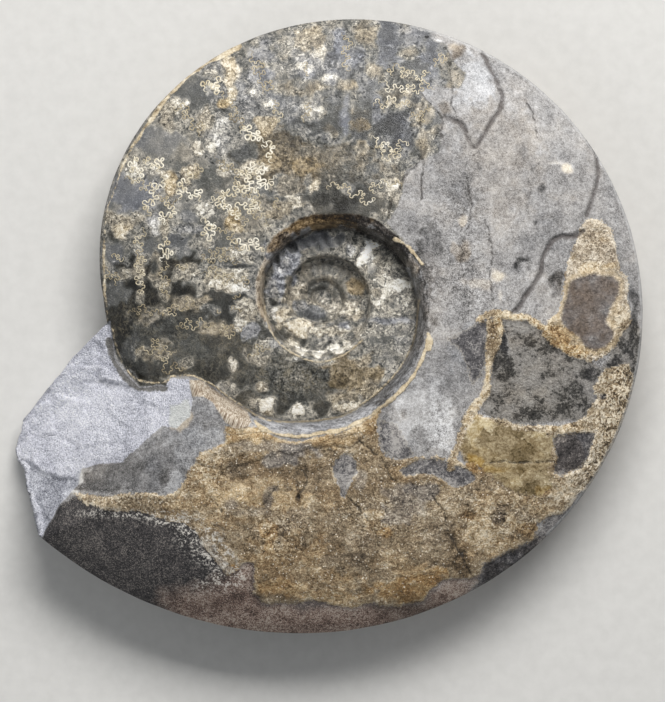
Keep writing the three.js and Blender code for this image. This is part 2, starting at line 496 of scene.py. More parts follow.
def eased(value, low, high):
    """From 0 at `low` to 1 at `high`, eased at both ends."""
    share = np.clip((value - low) / (high - low), 0, 1)
    return share * share * (3 - 2 * share)


# Borders of the kinds of stone.
CHAMBERED = [
    (34, 90.5), (35.5, 83), (40, 81), (42, 76), (46, 71.5), (44.5, 66.5), (38, 67), (32, 67), (31, 65),
    (34.5, 62), (38, 58), (37.5, 54), (38, 50.5), (37.5, 46.5), (33, 44), (31, 43), (26.5, 39.5),
    (26, 34.5), (25, 30), (22.5, 25.5), (20.5, 23.5), (26, 18.5), (29.5, 11.5), (31.5, 4), (32, -7),
    (30, -15), (26.5, -20.5), (23.5, -25.5), (17, -31.5), (10, -37), (4.5, -39), (-7, -40.5), (-13.5, -40),
    (-19, -38.5), (-24.5, -35), (-30, -31.5), (-34, -28), (-39, -25.5), (-41.5, -24.5), (-48, -25),
    (-49, -28), (-58, -28), (-62, -23.5), (-65.5, -19), (-67.5, -9), (-83.5, -7), (-83.5, 90.5),
]
BROKEN = [
    (-67.5, -7.5), (-83.5, -10), (-103, -32.5), (-103, -84), (-90.5, -77.5), (-87, -71.5), (-83.5, -66),
    (-80, -62.5), (-77.5, -59.5), (-76.5, -54.5), (-71, -53), (-63, -52), (-56.5, -46), (-50, -40.5),
    (-45.5, -41.5), (-41.5, -37.5), (-41, -32.5), (-42, -26), (-48, -25.5), (-49, -28), (-58, -28.5),
    (-63, -24), (-66, -20),
]
BROKEN_FOOT = [
    (-101.5, -49.5), (-95, -52.5), (-90, -55.5), (-84.5, -57.5), (-79, -57.5), (-76.5, -55), (-76.5, -60),
    (-80, -63.5), (-85.5, -69), (-91.5, -79), (-103, -84),
]
BROKEN_HOLLOW = [(-79, -20), (-73.5, -19), (-69, -22), (-66, -26), (-67, -30), (-72, -29.5), (-76.5, -26)]
CHARCOAL = [
    (-91.5, -79), (-87, -71.5), (-83, -66), (-78.5, -63.5), (-72.5, -65), (-58, -66), (-50, -67),
    (-42, -70), (-36, -76), (-30, -84), (-22, -84), (-21.5, -93.5), (-19, -98), (-10, -98.5), (-7, -109.5),
    (-55, -116), (-96.5, -90),
]
BROWN_SHELL = [
    (-79, -62.5), (-72.5, -63.5), (-66, -62.5), (-58, -61.5), (-50, -62), (-45.5, -61.5), (-43, -58),
    (-43, -55.5), (-40.5, -53), (-38, -49.5), (-34.5, -47.5), (-31, -45), (-30.5, -40.5), (-27, -40.5),
    (-22, -41), (-17, -43), (-13.5, -45), (-7, -45.5), (-0.5, -44.5), (7.5, -42), (13, -39.5), (18.5, -35),
    (22.5, -31.5), (24.5, -30.5), (20.5, -34.5), (18, -38.5), (17, -41.5), (17.5, -46), (20, -50),
    (23.5, -51.5), (27.5, -52), (30, -50.5), (35.5, -50.5), (40, -51.5), (42, -50), (44.5, -53.5),
    (47.5, -50), (50.5, -55), (57, -55), (66.5, -55), (74, -55), (76.5, -55.5), (81, -54), (85.5, -51),
    (86, -55), (83.5, -61.5), (80, -65.5), (77, -69), (72, -70), (69, -71.5), (68, -77), (63.5, -79.5),
    (58, -82), (53, -86), (50.5, -88.5), (47.5, -89.5), (42.5, -89.5), (38, -90), (34.5, -93.5),
    (33, -96.5), (25, -98.5), (17, -97.5), (10.5, -98.5), (4.5, -97.5), (-3.5, -96.5), (-10, -97.5),
    (-15, -97.5), (-19, -96.5), (-21.5, -94), (-21.5, -88.5), (-22, -84.5), (-26, -85), (-27, -87.5),
    (-29.5, -88.5), (-32, -86), (-34.5, -82.5), (-37.5, -79), (-40.5, -74), (-43, -72), (-47, -71),
    (-51.5, -70), (-58, -68.5), (-67.5, -67), (-75.5, -65.5),
]
TAN_SHELL = [
    (85, 25.5), (89, 25), (92.5, 22), (93.5, 17.5), (94.5, 13), (95.5, 8.5), (98, 6.5), (98, 3), (97.5, 0),
    (98.5, -4.5), (99, -8.5), (97, -11), (95, -14), (91.5, -17.5), (87.5, -20), (86, -19), (82, -18),
    (78.5, -17.5), (75.5, -14.5), (72.5, -13), (71, -10), (71.5, -7.5), (74.5, -5.5), (76.5, -1.5),
    (76.5, 2.5), (77.5, 5), (78, 9), (79, 13), (80.5, 17), (82, 22),
]
BROWN_ROUND = [
    (79.5, 5), (81, 6), (86, 7.5), (90, 6.5), (93, 6.5), (95, 5), (94.5, 1), (93, -1.5), (91.5, -4),
    (90.5, -8), (93, -10.5), (93, -13.5), (90.5, -15.5), (87, -16.5), (83.5, -15), (82, -12.5), (78, -10),
    (76.5, -7.5), (76.5, -5.5), (77.5, -2), (78, 1),
]
RIM_SHELL = [
    (90.5, -22.5), (98, -21), (100, -25.5), (99.5, -30), (98.5, -36), (96.5, -42), (93.5, -48), (91, -52.5),
    (88.5, -57), (86, -61.5), (82, -65.5), (78, -69.5), (71.5, -71.5), (69.5, -66), (71.5, -63),
    (72.5, -58), (71, -52), (70, -46), (66.5, -43.5), (62, -43), (58.5, -41.5), (54, -41.5), (50, -41),
    (50, -38.5), (54, -37.5), (58.5, -39), (63.5, -40.5), (70, -40.5), (76.5, -41), (82, -39),
    (84.5, -37.5), (86, -34), (88, -32), (86.5, -29), (88.5, -25.5),
]
AMBER_SHELL = [
    (49, -36.5), (55, -39), (63.5, -41.5), (71.5, -42), (75.5, -45.5), (74, -48.5), (73, -55),
    (74.5, -60.5), (69, -64), (61.5, -62), (56, -59), (50, -54), (45, -51.5), (43.5, -47), (46, -41),
]
SLATE = [
    [(39.5, -13), (44.5, -11), (48, -9.5), (50.5, -7.5), (53, -7.5), (52.5, -13.5), (52, -20.5), (50, -25),
     (47.5, -28), (47, -23.5), (45, -17.5), (42.5, -15)],
    [(25, -55), (28.5, -52.5), (31.5, -51), (35.5, -51), (39.5, -52), (42.5, -53.5), (46, -54.5),
     (49, -56.5), (49.5, -58), (47, -59.5), (42.5, -60), (39, -58.5), (35.5, -56.5), (31, -55.5),
     (26.5, -57)],
    [(73.5, -44.5), (81, -43), (87, -43), (86, -47.5), (85, -51), (83, -54.5), (79, -56), (75.5, -57),
     (73.5, -55), (75, -51)],
    [(18, -39), (23.5, -40.5), (26.5, -45.5), (29, -50), (25, -51.5), (21.5, -50.5), (18.5, -47)],
    [(50.5, -89.5), (51.5, -85.5), (58, -82), (63.5, -79.5), (68, -77), (70.5, -73), (72, -70), (77, -69),
     (80, -65.5), (82.5, -62), (89, -61.5), (79.5, -79), (63.5, -93.5), (50.5, -98), (47.5, -93.5)],
]
GREY_WINDOW = [
    (5, -51), (7.5, -49.5), (10, -50), (11.5, -52.5), (11.5, -55), (10, -57.5), (8.5, -60), (7.5, -63.5),
    (6, -63.5), (6, -60), (4, -56.5), (3.5, -53.5),
]
COARSE = [
    [(53, -17.5), (54, -6), (62, -6), (70, -9), (77, -15), (86.5, -20), (90, -23.5), (86.5, -29),
     (88, -33.5), (85.5, -39), (75, -39), (66.5, -40), (57, -39.5), (52, -37), (50.5, -32.5), (54, -27.5)],
    [(91, -19), (94, -13.5), (99.5, -7.5), (103.5, -10), (102, -26), (98, -30), (97, -22), (90.5, -25),
     (89, -22)],
]
FIBROUS = [
    (-42, -26), (-38.5, -26), (-34, -29), (-28.5, -32.5), (-23.5, -36.5), (-22, -39.5), (-24, -41.5),
    (-28, -41), (-30.5, -39.5), (-32.5, -36.5), (-34, -33.5), (-37, -31.5), (-41, -31.5),
]
RIM_BROWN = [
    (-21.5, -94), (-19, -96.5), (-10, -98), (4.5, -97.5), (17, -98), (33, -97), (34.5, -93.5), (38, -90),
    (42.5, -89.5), (50.5, -89.5), (47.5, -96.5), (34.5, -104.5), (2.5, -112.5), (-29.5, -109.5),
    (-45.5, -103), (-50, -96.5), (-39, -93.5), (-29.5, -90), (-26.5, -85.5), (-22, -84.5), (-21.5, -90),
]
VEIN_SHELL = [(52, -6.5), (57, -6), (58, -10), (57, -15), (55, -19), (53.5, -22), (52, -18), (52.5, -12)]

SHELL_LAYER = [
    (-40, -51), (-37, -53), (-32, -54), (-26, -53), (-21, -51.5), (-16, -50), (-13.5, -48.5), (-9.5, -49.5),
    (-7, -48.5), (-3, -47.5), (4.5, -46.5), (9, -47.5), (13, -44), (9, -40), (-13, -43), (-30, -43.5),
    (-41, -48),
]

# Lines: open grooves, fine cracks, raised veins of shell, and the cream edges of worn shell layers.
GROOVES = [
    [(51.5, 78.5), (54, 73.5), (56, 69), (58, 64), (57, 60), (54.5, 57), (52, 53), (50.5, 49.5), (49, 47.5),
     (47.5, 48.5), (46, 53), (44.5, 55.5), (41, 57), (39, 57.5)],
    [(83.5, 21.5), (80, 19.5), (75.5, 19.5), (72.5, 17), (70.5, 11.5), (69.5, 6.5), (66, 2), (63.5, -2),
     (60.5, -5)],
    [(85.5, 50.5), (88, 46), (88.5, 39.5), (87, 33), (84.5, 26.5)],
]
CRACKS = [
    [(65, 62.5), (67.5, 59.5), (67.5, 57), (69.5, 50.5)],
    [(51.5, 24.5), (54, 18.5), (54, 11.5), (54, -0.5)],
    [(46, 38.5), (47, 31.5), (47, 26.5), (45.5, 18.5), (44.5, 11.5)],
    [(32, 63.5), (32, 47.5), (31.5, 31.5)],
    [(42, 76), (41, 68), (42.5, 57.5)],
    [(11.5, -45.5), (15.5, -48.5), (19.5, -52), (23, -57.5)],
    [(42, -76), (46, -84), (48, -88.5)],
    [(54, -53), (62, -52.5), (73, -52)],
    [(7.5, -63), (16, -71), (18.5, -79)],
    [(-19, -66), (-16.5, -63), (-14, -60)],
    [(-8, -65.5), (-7, -62), (-4.5, -60), (-4, -57.5), (-6, -54.5)],
    [(-34, -64.5), (-31, -68)],
    [(34, -62), (38, -68), (40, -74), (44, -80)],
    [(21, 24.5), (24, 34.5), (28, 40), (32, 44), (33.5, 48)],
    [(31, 65.5), (34.5, 62), (38, 58), (38.5, 51)],
]
VEINS = [
    [(50, -7), (52.5, -5), (56, -4.5), (60.5, -6), (65, -6.5), (69.5, -9), (73, -10.5), (77, -11),
     (81, -12.5)],
    [(71, -11), (74, -14), (77, -16.5), (81, -18), (86, -19.5)],
    [(53, -20), (52.5, -25.5), (52.5, -29.5), (50.5, -32.5), (48, -36), (46, -39), (44.5, -43), (43.5, -47),
     (42, -50), (41, -54)],
]
CREAM_LINES = [
    [(-21, -39.5), (-19, -42), (-13.5, -43.5), (-7, -44), (-0.5, -43.5), (7.5, -41.5), (14, -38.5),
     (20, -34.5), (25, -29.5), (29, -25), (32, -19.5), (33.5, -15.5), (34, -12.5)],
    [(33.5, -11.5), (34.5, -13.5), (34, -16.5)],
    [(23.5, 18.5), (27, 16.5), (30, 13.5), (32, 10.5)],
]
# The line along which a grey band of painted shadow lies on the break, beside the cream line of the older
# keel.
SHADOWED_LEDGE_LINE = [(-67.8, -14), (-66.5, -19.5), (-63.5, -24.5), (-59, -28.8), (-50, -28.8)]
THIN_LINES = [
    [(-48, -25), (-41.5, -24.5), (-39, -25.5), (-34, -28), (-30, -31.5), (-24.5, -35), (-19, -38.5),
     (-13.5, -39.5), (-7, -39.5), (-0.5, -39), (6, -38), (10, -36), (17, -31), (23.5, -24.5), (27, -19.5),
     (30, -12), (31, -0.5)],
    [(-18.5, -0.5), (-18, -4.5), (-16.5, -10), (-13.5, -15), (-7, -19), (-0.5, -21), (7.5, -18.5),
     (13, -13.5)],
    [(-67, -9.5), (-65, -19), (-62, -23.5), (-58, -27), (-49, -27), (-48, -25)],
]
KEEL_SHELL = [
    (-68.5, -7.5), (-69.5, 2.5), (-69.5, 26.5), (-66.5, 35), (-61.5, 47.5), (-51.5, 62), (-43.5, 70.5),
    (-39, 75.5), (-32, 78), (-27, 80.5),
]

# Spots of colour, each laid over the ones before it: (x, y, half width, half height, tone, warmth). Tone runs
# from dark to light and warmth from blue to orange; both are 0 where the stone has its usual colour.
CHAMBER_TONES = [
    (-7, 66.5, 35, 19, 0.04, -0.2), (25, 70, 22.5, 19, -0.18, -0.3), (-42, 38, 22.5, 19, -0.1, 0),
    (-34, 22, 12, 11, -0.16, 0), (-55, -7, 19, 25.5, -0.62, 0.15), (-35.5, -16.5, 29, 13, -0.42, 0.1),
    (-10, -24.5, 19, 11, -0.38, 0.05), (31.5, 57, 13, 16, -0.15, -0.2), (14, 66, 11, 12, -0.2, -0.3),
    (13, 54, 20, 8.5, -0.42, -0.15), (6, 42, 16, 10.5, -0.3, 0.3), (-13.5, 44, 13, 9.5, -0.34, 0.5),
    (-12, 9, 5, 11, 0.2, -0.7), (20.5, 4, 16, 19, 0.12, 0.05), (-42, 65.5, 9, 5, -0.22, -0.1),
    (-52, 50, 8, 5, -0.1, -0.25), (-60.5, 33, 7.5, 8, -0.04, -0.5), (-35, 38, 6.5, 4.5, -0.28, 0),
    (-23.5, 46.5, 4, 3.5, -0.25, 0), (-43.5, 42, 3, 2.5, -0.25, 0), (-38.5, 61.5, 3.5, 2, -0.22, 0),
    (-19, 34, 4, 2, -0.22, -0.2), (-66.5, 14, 4, 3.5, -0.15, -0.3), (-55, 15.5, 4, 4, -0.2, -0.2),
    (-45.5, 17.5, 4.5, 4, -0.18, -0.25), (-42, 26, 4, 2, -0.12, -0.3), (-65.5, 1.5, 5, 4, -0.25, -0.1),
    (-51.5, 26.5, 2.5, 2, -0.15, -0.2), (-48, 57.5, 4.5, 4, 0.21, 0.2), (-44, 56.5, 3, 4.5, 0.13, 0),
    (-37, 56.5, 3, 4, 0.26, 0.3), (-32, 52.5, 4, 6, 0.38, -0.12), (-35, 48, 2, 2.5, 0.42, 0.15),
    (-27.5, 72, 2, 2.5, 0.55, 0.05), (-29.5, 73, 2, 6.5, 0.42, 0.5), (-30.5, 61.5, 2.5, 2, 0.38, 1.1),
    (-28.5, 65, 2, 2, 0.45, 0.5), (-34, 67, 2.5, 2, 0.48, 0.15), (-35.5, 71.5, 2.5, 1.5, 0.34, 0.15),
    (-39, 47.5, 2, 2, 0.5, 0.15), (-47, 62.5, 1.5, 1.5, 0.48, 0.1), (-43.5, 62, 1.5, 1.5, 0.5, 0),
    (-21.5, 65.5, 2, 1.5, 0.46, 0), (-17, 62, 2, 1.5, 0.49, 0), (-60, 41.5, 2, 4, 0.4, 0),
    (-58, 39.5, 2, 2, 0.4, 0), (-54, 42, 3, 3, 0.42, 0.05), (-62, 41, 1, 1.5, 0.4, 0),
    (-48, 37, 2.5, 4, 0.38, 0.9), (-50, 39, 1.5, 1.5, 0.5, 0.4), (-41, 40.5, 3, 2.5, 0.34, 0.55),
    (-43, 38.5, 2, 3, 0.17, 0.5), (-30.5, 41.5, 3, 2.5, 0.38, 0.15), (-21.5, 41, 4.5, 2.5, 0.3, 0.3),
    (-26, 40.5, 2.5, 2, 0.26, 0.3), (-18, 55.5, 3.5, 2.5, 0.27, 0.55), (-36.5, 27.5, 4, 3, 0.4, 0),
    (-39, 29.5, 2, 1.5, 0.45, 0.05), (-53, 23.5, 2.5, 3.5, 0.4, -0.35), (-64, 24, 3, 3, 0.26, 0.5),
    (-64, 21, 1.5, 2, 0.48, 0.7), (-67.5, 25.5, 2, 2.5, 0.17, 0.3), (-58.5, 26, 2.5, 2.5, 0.21, 0.3),
    (-28, 24.5, 2.5, 3, 0.21, 1), (-26, 22, 2, 1.5, 0.45, 0.6), (-47.5, 23, 2.5, 2.5, 0.21, 0),
    (-43, 22, 4.5, 2, 0.15, -0.3), (-15.5, 43.5, 3, 2.5, 0, 0.7), (-11.5, 36, 5, 4, 0.12, 0.3),
    (-8, 30, 4, 2.5, 0.47, 0.2), (-2.5, 35, 2, 2.5, 0.44, 0.5), (-14, 28, 4.5, 2.5, 0.2, 0.4),
    (-19, 30, 3, 2.5, 0.09, 0.1), (-19, 40.5, 2, 1.5, 0.4, 0.2), (-37.5, 18.5, 4, 2.5, 0.17, 0.1),
    (-50, 22.5, 1.5, 4, 0.26, 0.3), (-5.5, 82, 4.5, 4, 0.27, 0.35), (-1, 82.5, 2.5, 4.5, 0.22, 0.4),
    (-4.5, 74.5, 4.5, 3, 0.34, -0.2), (-19, 78, 4, 4, -0.06, -0.45), (-11.5, 79.5, 2.5, 5, 0.12, 0),
    (-15, 72.5, 5, 3, 0.24, -0.1), (-26, 79.5, 3.5, 3, -0.05, -0.1), (-19, 70.5, 4.5, 2, 0.12, -0.5),
    (-7, 67, 9.5, 3, 0.14, 0.15), (-5.5, 73, 4, 1.5, 0.52, 0), (1, 78, 2.5, 2, 0.43, 0.1),
    (7.5, 77, 5, 3, -0.04, -0.45), (6, 81.5, 2, 5, -0.19, -0.5), (14, 84.5, 4, 4, 0.01, 0.3),
    (16, 78.5, 2.5, 3, -0.04, 0.1), (21.5, 79.5, 3, 7, -0.29, -0.5), (28.5, 77.5, 4, 2.5, 0.06, 0.2),
    (34.5, 75.5, 3, 7, -0.3, -0.55), (16, 73, 4, 2, 0.16, 0.25), (29, 73, 4, 3, -0.4, -0.1),
    (25, 70.5, 6, 2.5, -0.1, 0), (2.5, 70, 2.5, 1.5, 0.46, 0), (7.5, 68, 4, 2, 0.16, 0.3),
    (17, 66, 4, 3, -0.3, -0.35), (24, 65.5, 6.5, 2, -0.09, 0.15), (8, 56.5, 1.5, 6, -0.2, -0.8),
    (18, 57.5, 1.5, 4.5, -0.22, -0.5), (23, 52, 6, 6, -0.54, -0.25), (27, 52, 2.5, 4.5, -0.4, -0.35),
    (25, 61.5, 5, 2, 0.11, 0.1), (32, 58.5, 3, 4.5, 0.11, 0.15), (33.5, 50, 3, 5, 0.2, 0.15),
    (12.5, 47.5, 3, 3.5, 0.15, 0.55), (-3, 59, 4.5, 3, 0.22, 0), (-1, 59.5, 1.5, 1.5, 0.55, 0),
    (-4.5, 46.5, 4, 2, -0.04, 0.3), (-5.5, 42, 4, 3, -0.15, 0.7), (21, 31.5, 5, 5, 0.35, 0.1),
    # The spots at (7.5, 30) and (4.5, 30.5) on the next line are painted shadow in the hollow above the
    # umbilicus.
    (22, 36, 4, 2.5, 0.4, 0.1), (7.5, 30, 12, 6, -0.3, 0.1), (4.5, 30.5, 6.5, 3, -0.5, 0.1),
    (8, 34.5, 2, 2.5, -0.05, 0), (15.5, 41.5, 3, 3, 0.08, -0.25), (12.5, 54.5, 3, 3, -0.3, 0.5),
    (6.5, 50, 2.5, 1.5, -0.2, -0.2), (-1, 50.5, 3, 2, -0.15, 0), (20.5, 47.5, 2.5, 4.5, -0.1, -0.1),
    (23.5, 44, 4.5, 1.5, 0.2, 0), (42.5, 72.5, 4.5, 6, -0.14, 0.25), (40, 65, 2, 3, -0.14, 0.3),
    (-43, 7.5, 4.5, 3, 0.26, 0.2), (-31, 5, 7.5, 4, 0.34, 0.2), (-34, 3.5, 3, 1.5, 0.5, 0.1),
    (-25, 3, 3, 1.5, 0.53, 0), (-27.5, 13, 5.5, 2.5, 0.3, 0.2), (-24.5, 14.5, 3, 1.5, 0.34, 0),
    (-26, 9.5, 4, 0.5, -0.45, 0), (-32, -1, 9, 2.5, -0.5, 0), (-63, 7.5, 4, 2, 0.17, 0.25),
    (-58, 9.5, 1.5, 6, 0.17, 0.3), (-53, 8.5, 2, 6.5, 0.0, 0.25), (-53.5, 10, 1, 2, -0.5, 0),
    (-50.5, 2, 2, 4.5, 0.02, 0.25), (-58.5, 0.5, 1.5, 2.5, 0.13, 0.3), (-55, -5.5, 6, 3.5, -0.11, 0.35),
    (-42, -1.5, 6.5, 2.5, -0.03, 0.45), (-34.5, -10, 6.5, 2.5, -0.04, 0.35), (-24, -5, 4, 4, 0.3, 0.2),
    (-26, -8.5, 2, 2, 0.4, 0.1), (-22, -11, 2.5, 3, -0.02, -0.5), (-19, -17.5, 5, 4.5, 0.13, 0.1),
    (-28.5, -21, 1.5, 2.5, 0.48, 0.1), (-28, -29.5, 2, 1.5, 0.4, 0), (-28.5, -28, 1.5, 1, 0.45, 0),
    (-55, -17.5, 7, 2.5, 0, 0.3), (-50, -15, 2.5, 2, 0.13, 0.2), (-42, -16.5, 6.5, 4.5, -0.38, 0),
    (-61.5, -15, 2.5, 4, -0.25, 0), (-37.5, -31, 4.5, 2, -0.4, 0), (-43.5, -21, 2.5, 1.5, 0.09, 0.1),
    (-19, -28, 2, 2, 0.26, 0.3), (-24.5, -32, 2.5, 3, -0.4, 0.1), (-0.5, 18, 7, 3, -0.26, -0.45),
    (-10, 16, 2, 2.5, -0.45, -0.3), (-11.5, 11.5, 1.5, 2, 0.25, -0.4), (-13.5, 9, 1.5, 1.5, 0.4, -0.5),
    (-14, 12.5, 1, 1.5, -0.57, -0.2), (-16, 4.5, 1.5, 2, 0, -0.4), (-16, -1.5, 1.5, 1.5, -0.6, 0),
    (-15, 2, 1.5, 1.5, 0.2, -0.2), (-15, -4.5, 1.5, 2, 0.55, -0.1), (-2.5, 14.5, 2, 2, -0.2, -0.05),
    (6, 18.5, 2.5, 2, -0.22, -0.3), (9.5, 15.5, 1.5, 2, 0.35, -0.35), (15, 14.5, 2, 4, 0.55, -0.3),
    (17, 16.5, 1.5, 1.5, 0.75, 0), (13, 11.5, 1.5, 2, 0.75, -0.1), (16, 9, 1.5, 1.5, -0.1, -0.2),
    (23, 11, 4, 3, 0.25, 0.05), (20.5, 4.5, 5, 3.5, 0.45, 0.03), (25, 4, 3, 2, 0.65, 0),
    (18, -0.5, 4, 2, 0.45, 0), (17, 2, 1.5, 1.5, -0.1, 0.2), (23, -0.5, 2, 1.5, -0.05, 0.1),
    (26, -1.5, 2.5, 2, 0.35, 0), (21.5, -4.5, 5, 1.5, 0.25, 0.1), (21.5, -7.5, 7.5, 1, -0.05, -0.5),
    (17.5, -10.5, 4, 1.5, 0.25, 0.05), (26, -15.5, 4, 3, 0.15, -0.1), (18, -13, 3, 1.5, -0.15, 0),
    (22.5, -19, 2.5, 2.5, 0, 0), (9, -24.5, 10, 6, -0.12, 0.7), (5.5, -27, 2.5, 2, -0.3, 0.8),
    (16, -29.5, 4.5, 2.5, 0.17, 0.5), (13, -20, 3, 2, 0.25, 0.5), (7, -31.5, 5, 2, 0.05, 0.35),
    (9, -34.5, 7, 1.5, 0.45, 0.25), (-10, -24.5, 8.5, 5.5, -0.38, 0), (-2.5, -27.5, 4, 4.5, -0.38, 0),
    (0, -35.5, 4, 2, -0.5, 0.1), (-12, -34, 2.5, 3, -0.5, 0.1), (-18, -34, 3, 3, 0.9, 0.2),
    (-8, -36.5, 2.5, 2, 0.85, 0.2), (-17, -37, 1.5, 1, 0.35, 0.5), (-7, -9, 5, 3, 0.6, 0.45),
    (-12, -4.5, 2.5, 2.5, 0.6, 0.5), (-10.5, 0, 3, 3, 0.2, 0.3), (1, 0.5, 11, 10, -0.1, 0.25),
    (-1, 4, 3, 2, -0.25, 0.1), (4.5, 9, 7, 2, -0.13, 0.1), (-3.5, -5, 4, 2, -0.23, -0.3),
    (-7, -2, 2, 1.5, 0.05, -0.3), (7.5, -9, 2, 1.5, 0.1, -0.6), (10, 2.5, 2.5, 2.5, -0.03, 0.9),
    (-7.5, 2.5, 2, 3, 0.25, 0.3), (6, -3, 4, 3, 0.35, 0.2), (1, 0.5, 2.5, 2.5, 0.15, 0.1),
    (2, -10.5, 6.5, 2, 0.3, 0.3), (10, -5, 2, 2.5, 0.4, 0.3), (-3, -10, 2.5, 1.5, 0.35, 0.3),
    (-10, -14.5, 2, 1.5, 0.5, 0.1), (-6, -17, 2.5, 1.5, 0.6, 0.05), (-0.5, -17.5, 2.5, 1.5, 0.75, 0.05),
    (4.5, -16.5, 2.5, 1.5, 0.8, 0.1), (8.5, -14, 2, 1.5, 0.6, 0.15), (11.5, -11, 1.5, 1.5, 0.35, 0.2),
    (-13.5, -15, 2.5, 1.5, 0.2, -0.25), (-7.5, -19.5, 4, 1, 0.3, -0.25), (0, -20.5, 4, 1, 0.35, 0),
    (-3.5, -15, 1.5, 1, -0.05, 0),
]
# The wall's tones are partly painted light and shade: darker round its top and upper right, which face away
# from the light, and lighter along its bottom, which faces it; its browns, tans and greys are its own.
WALL_TONES = [
    (1, -39, 25.5, 6.5, 0.29, -0.12), (-20, 2.5, 5, 15.5, 0.36, 0.7), (-16, 18.5, 4.5, 5, -0.12, 0.8),
    (-7, 24.5, 8.5, 4, -0.18, 1.0), (10, 27, 14.5, 5.5, -0.55, 0.9), (0, 23, 6, 1.5, 0.0, 1.0),
    (22, 18, 11, 10, -0.6, 0.3), (34, -4.5, 3, 13.5, 0.0, 0.1), (-19, -12, 3, 4.5, 0.35, 0.3),
    (-11.5, 19, 2, 1.5, -0.25, 0.6), (29, 11.5, 2, 3, 0.1, 0.5),
]
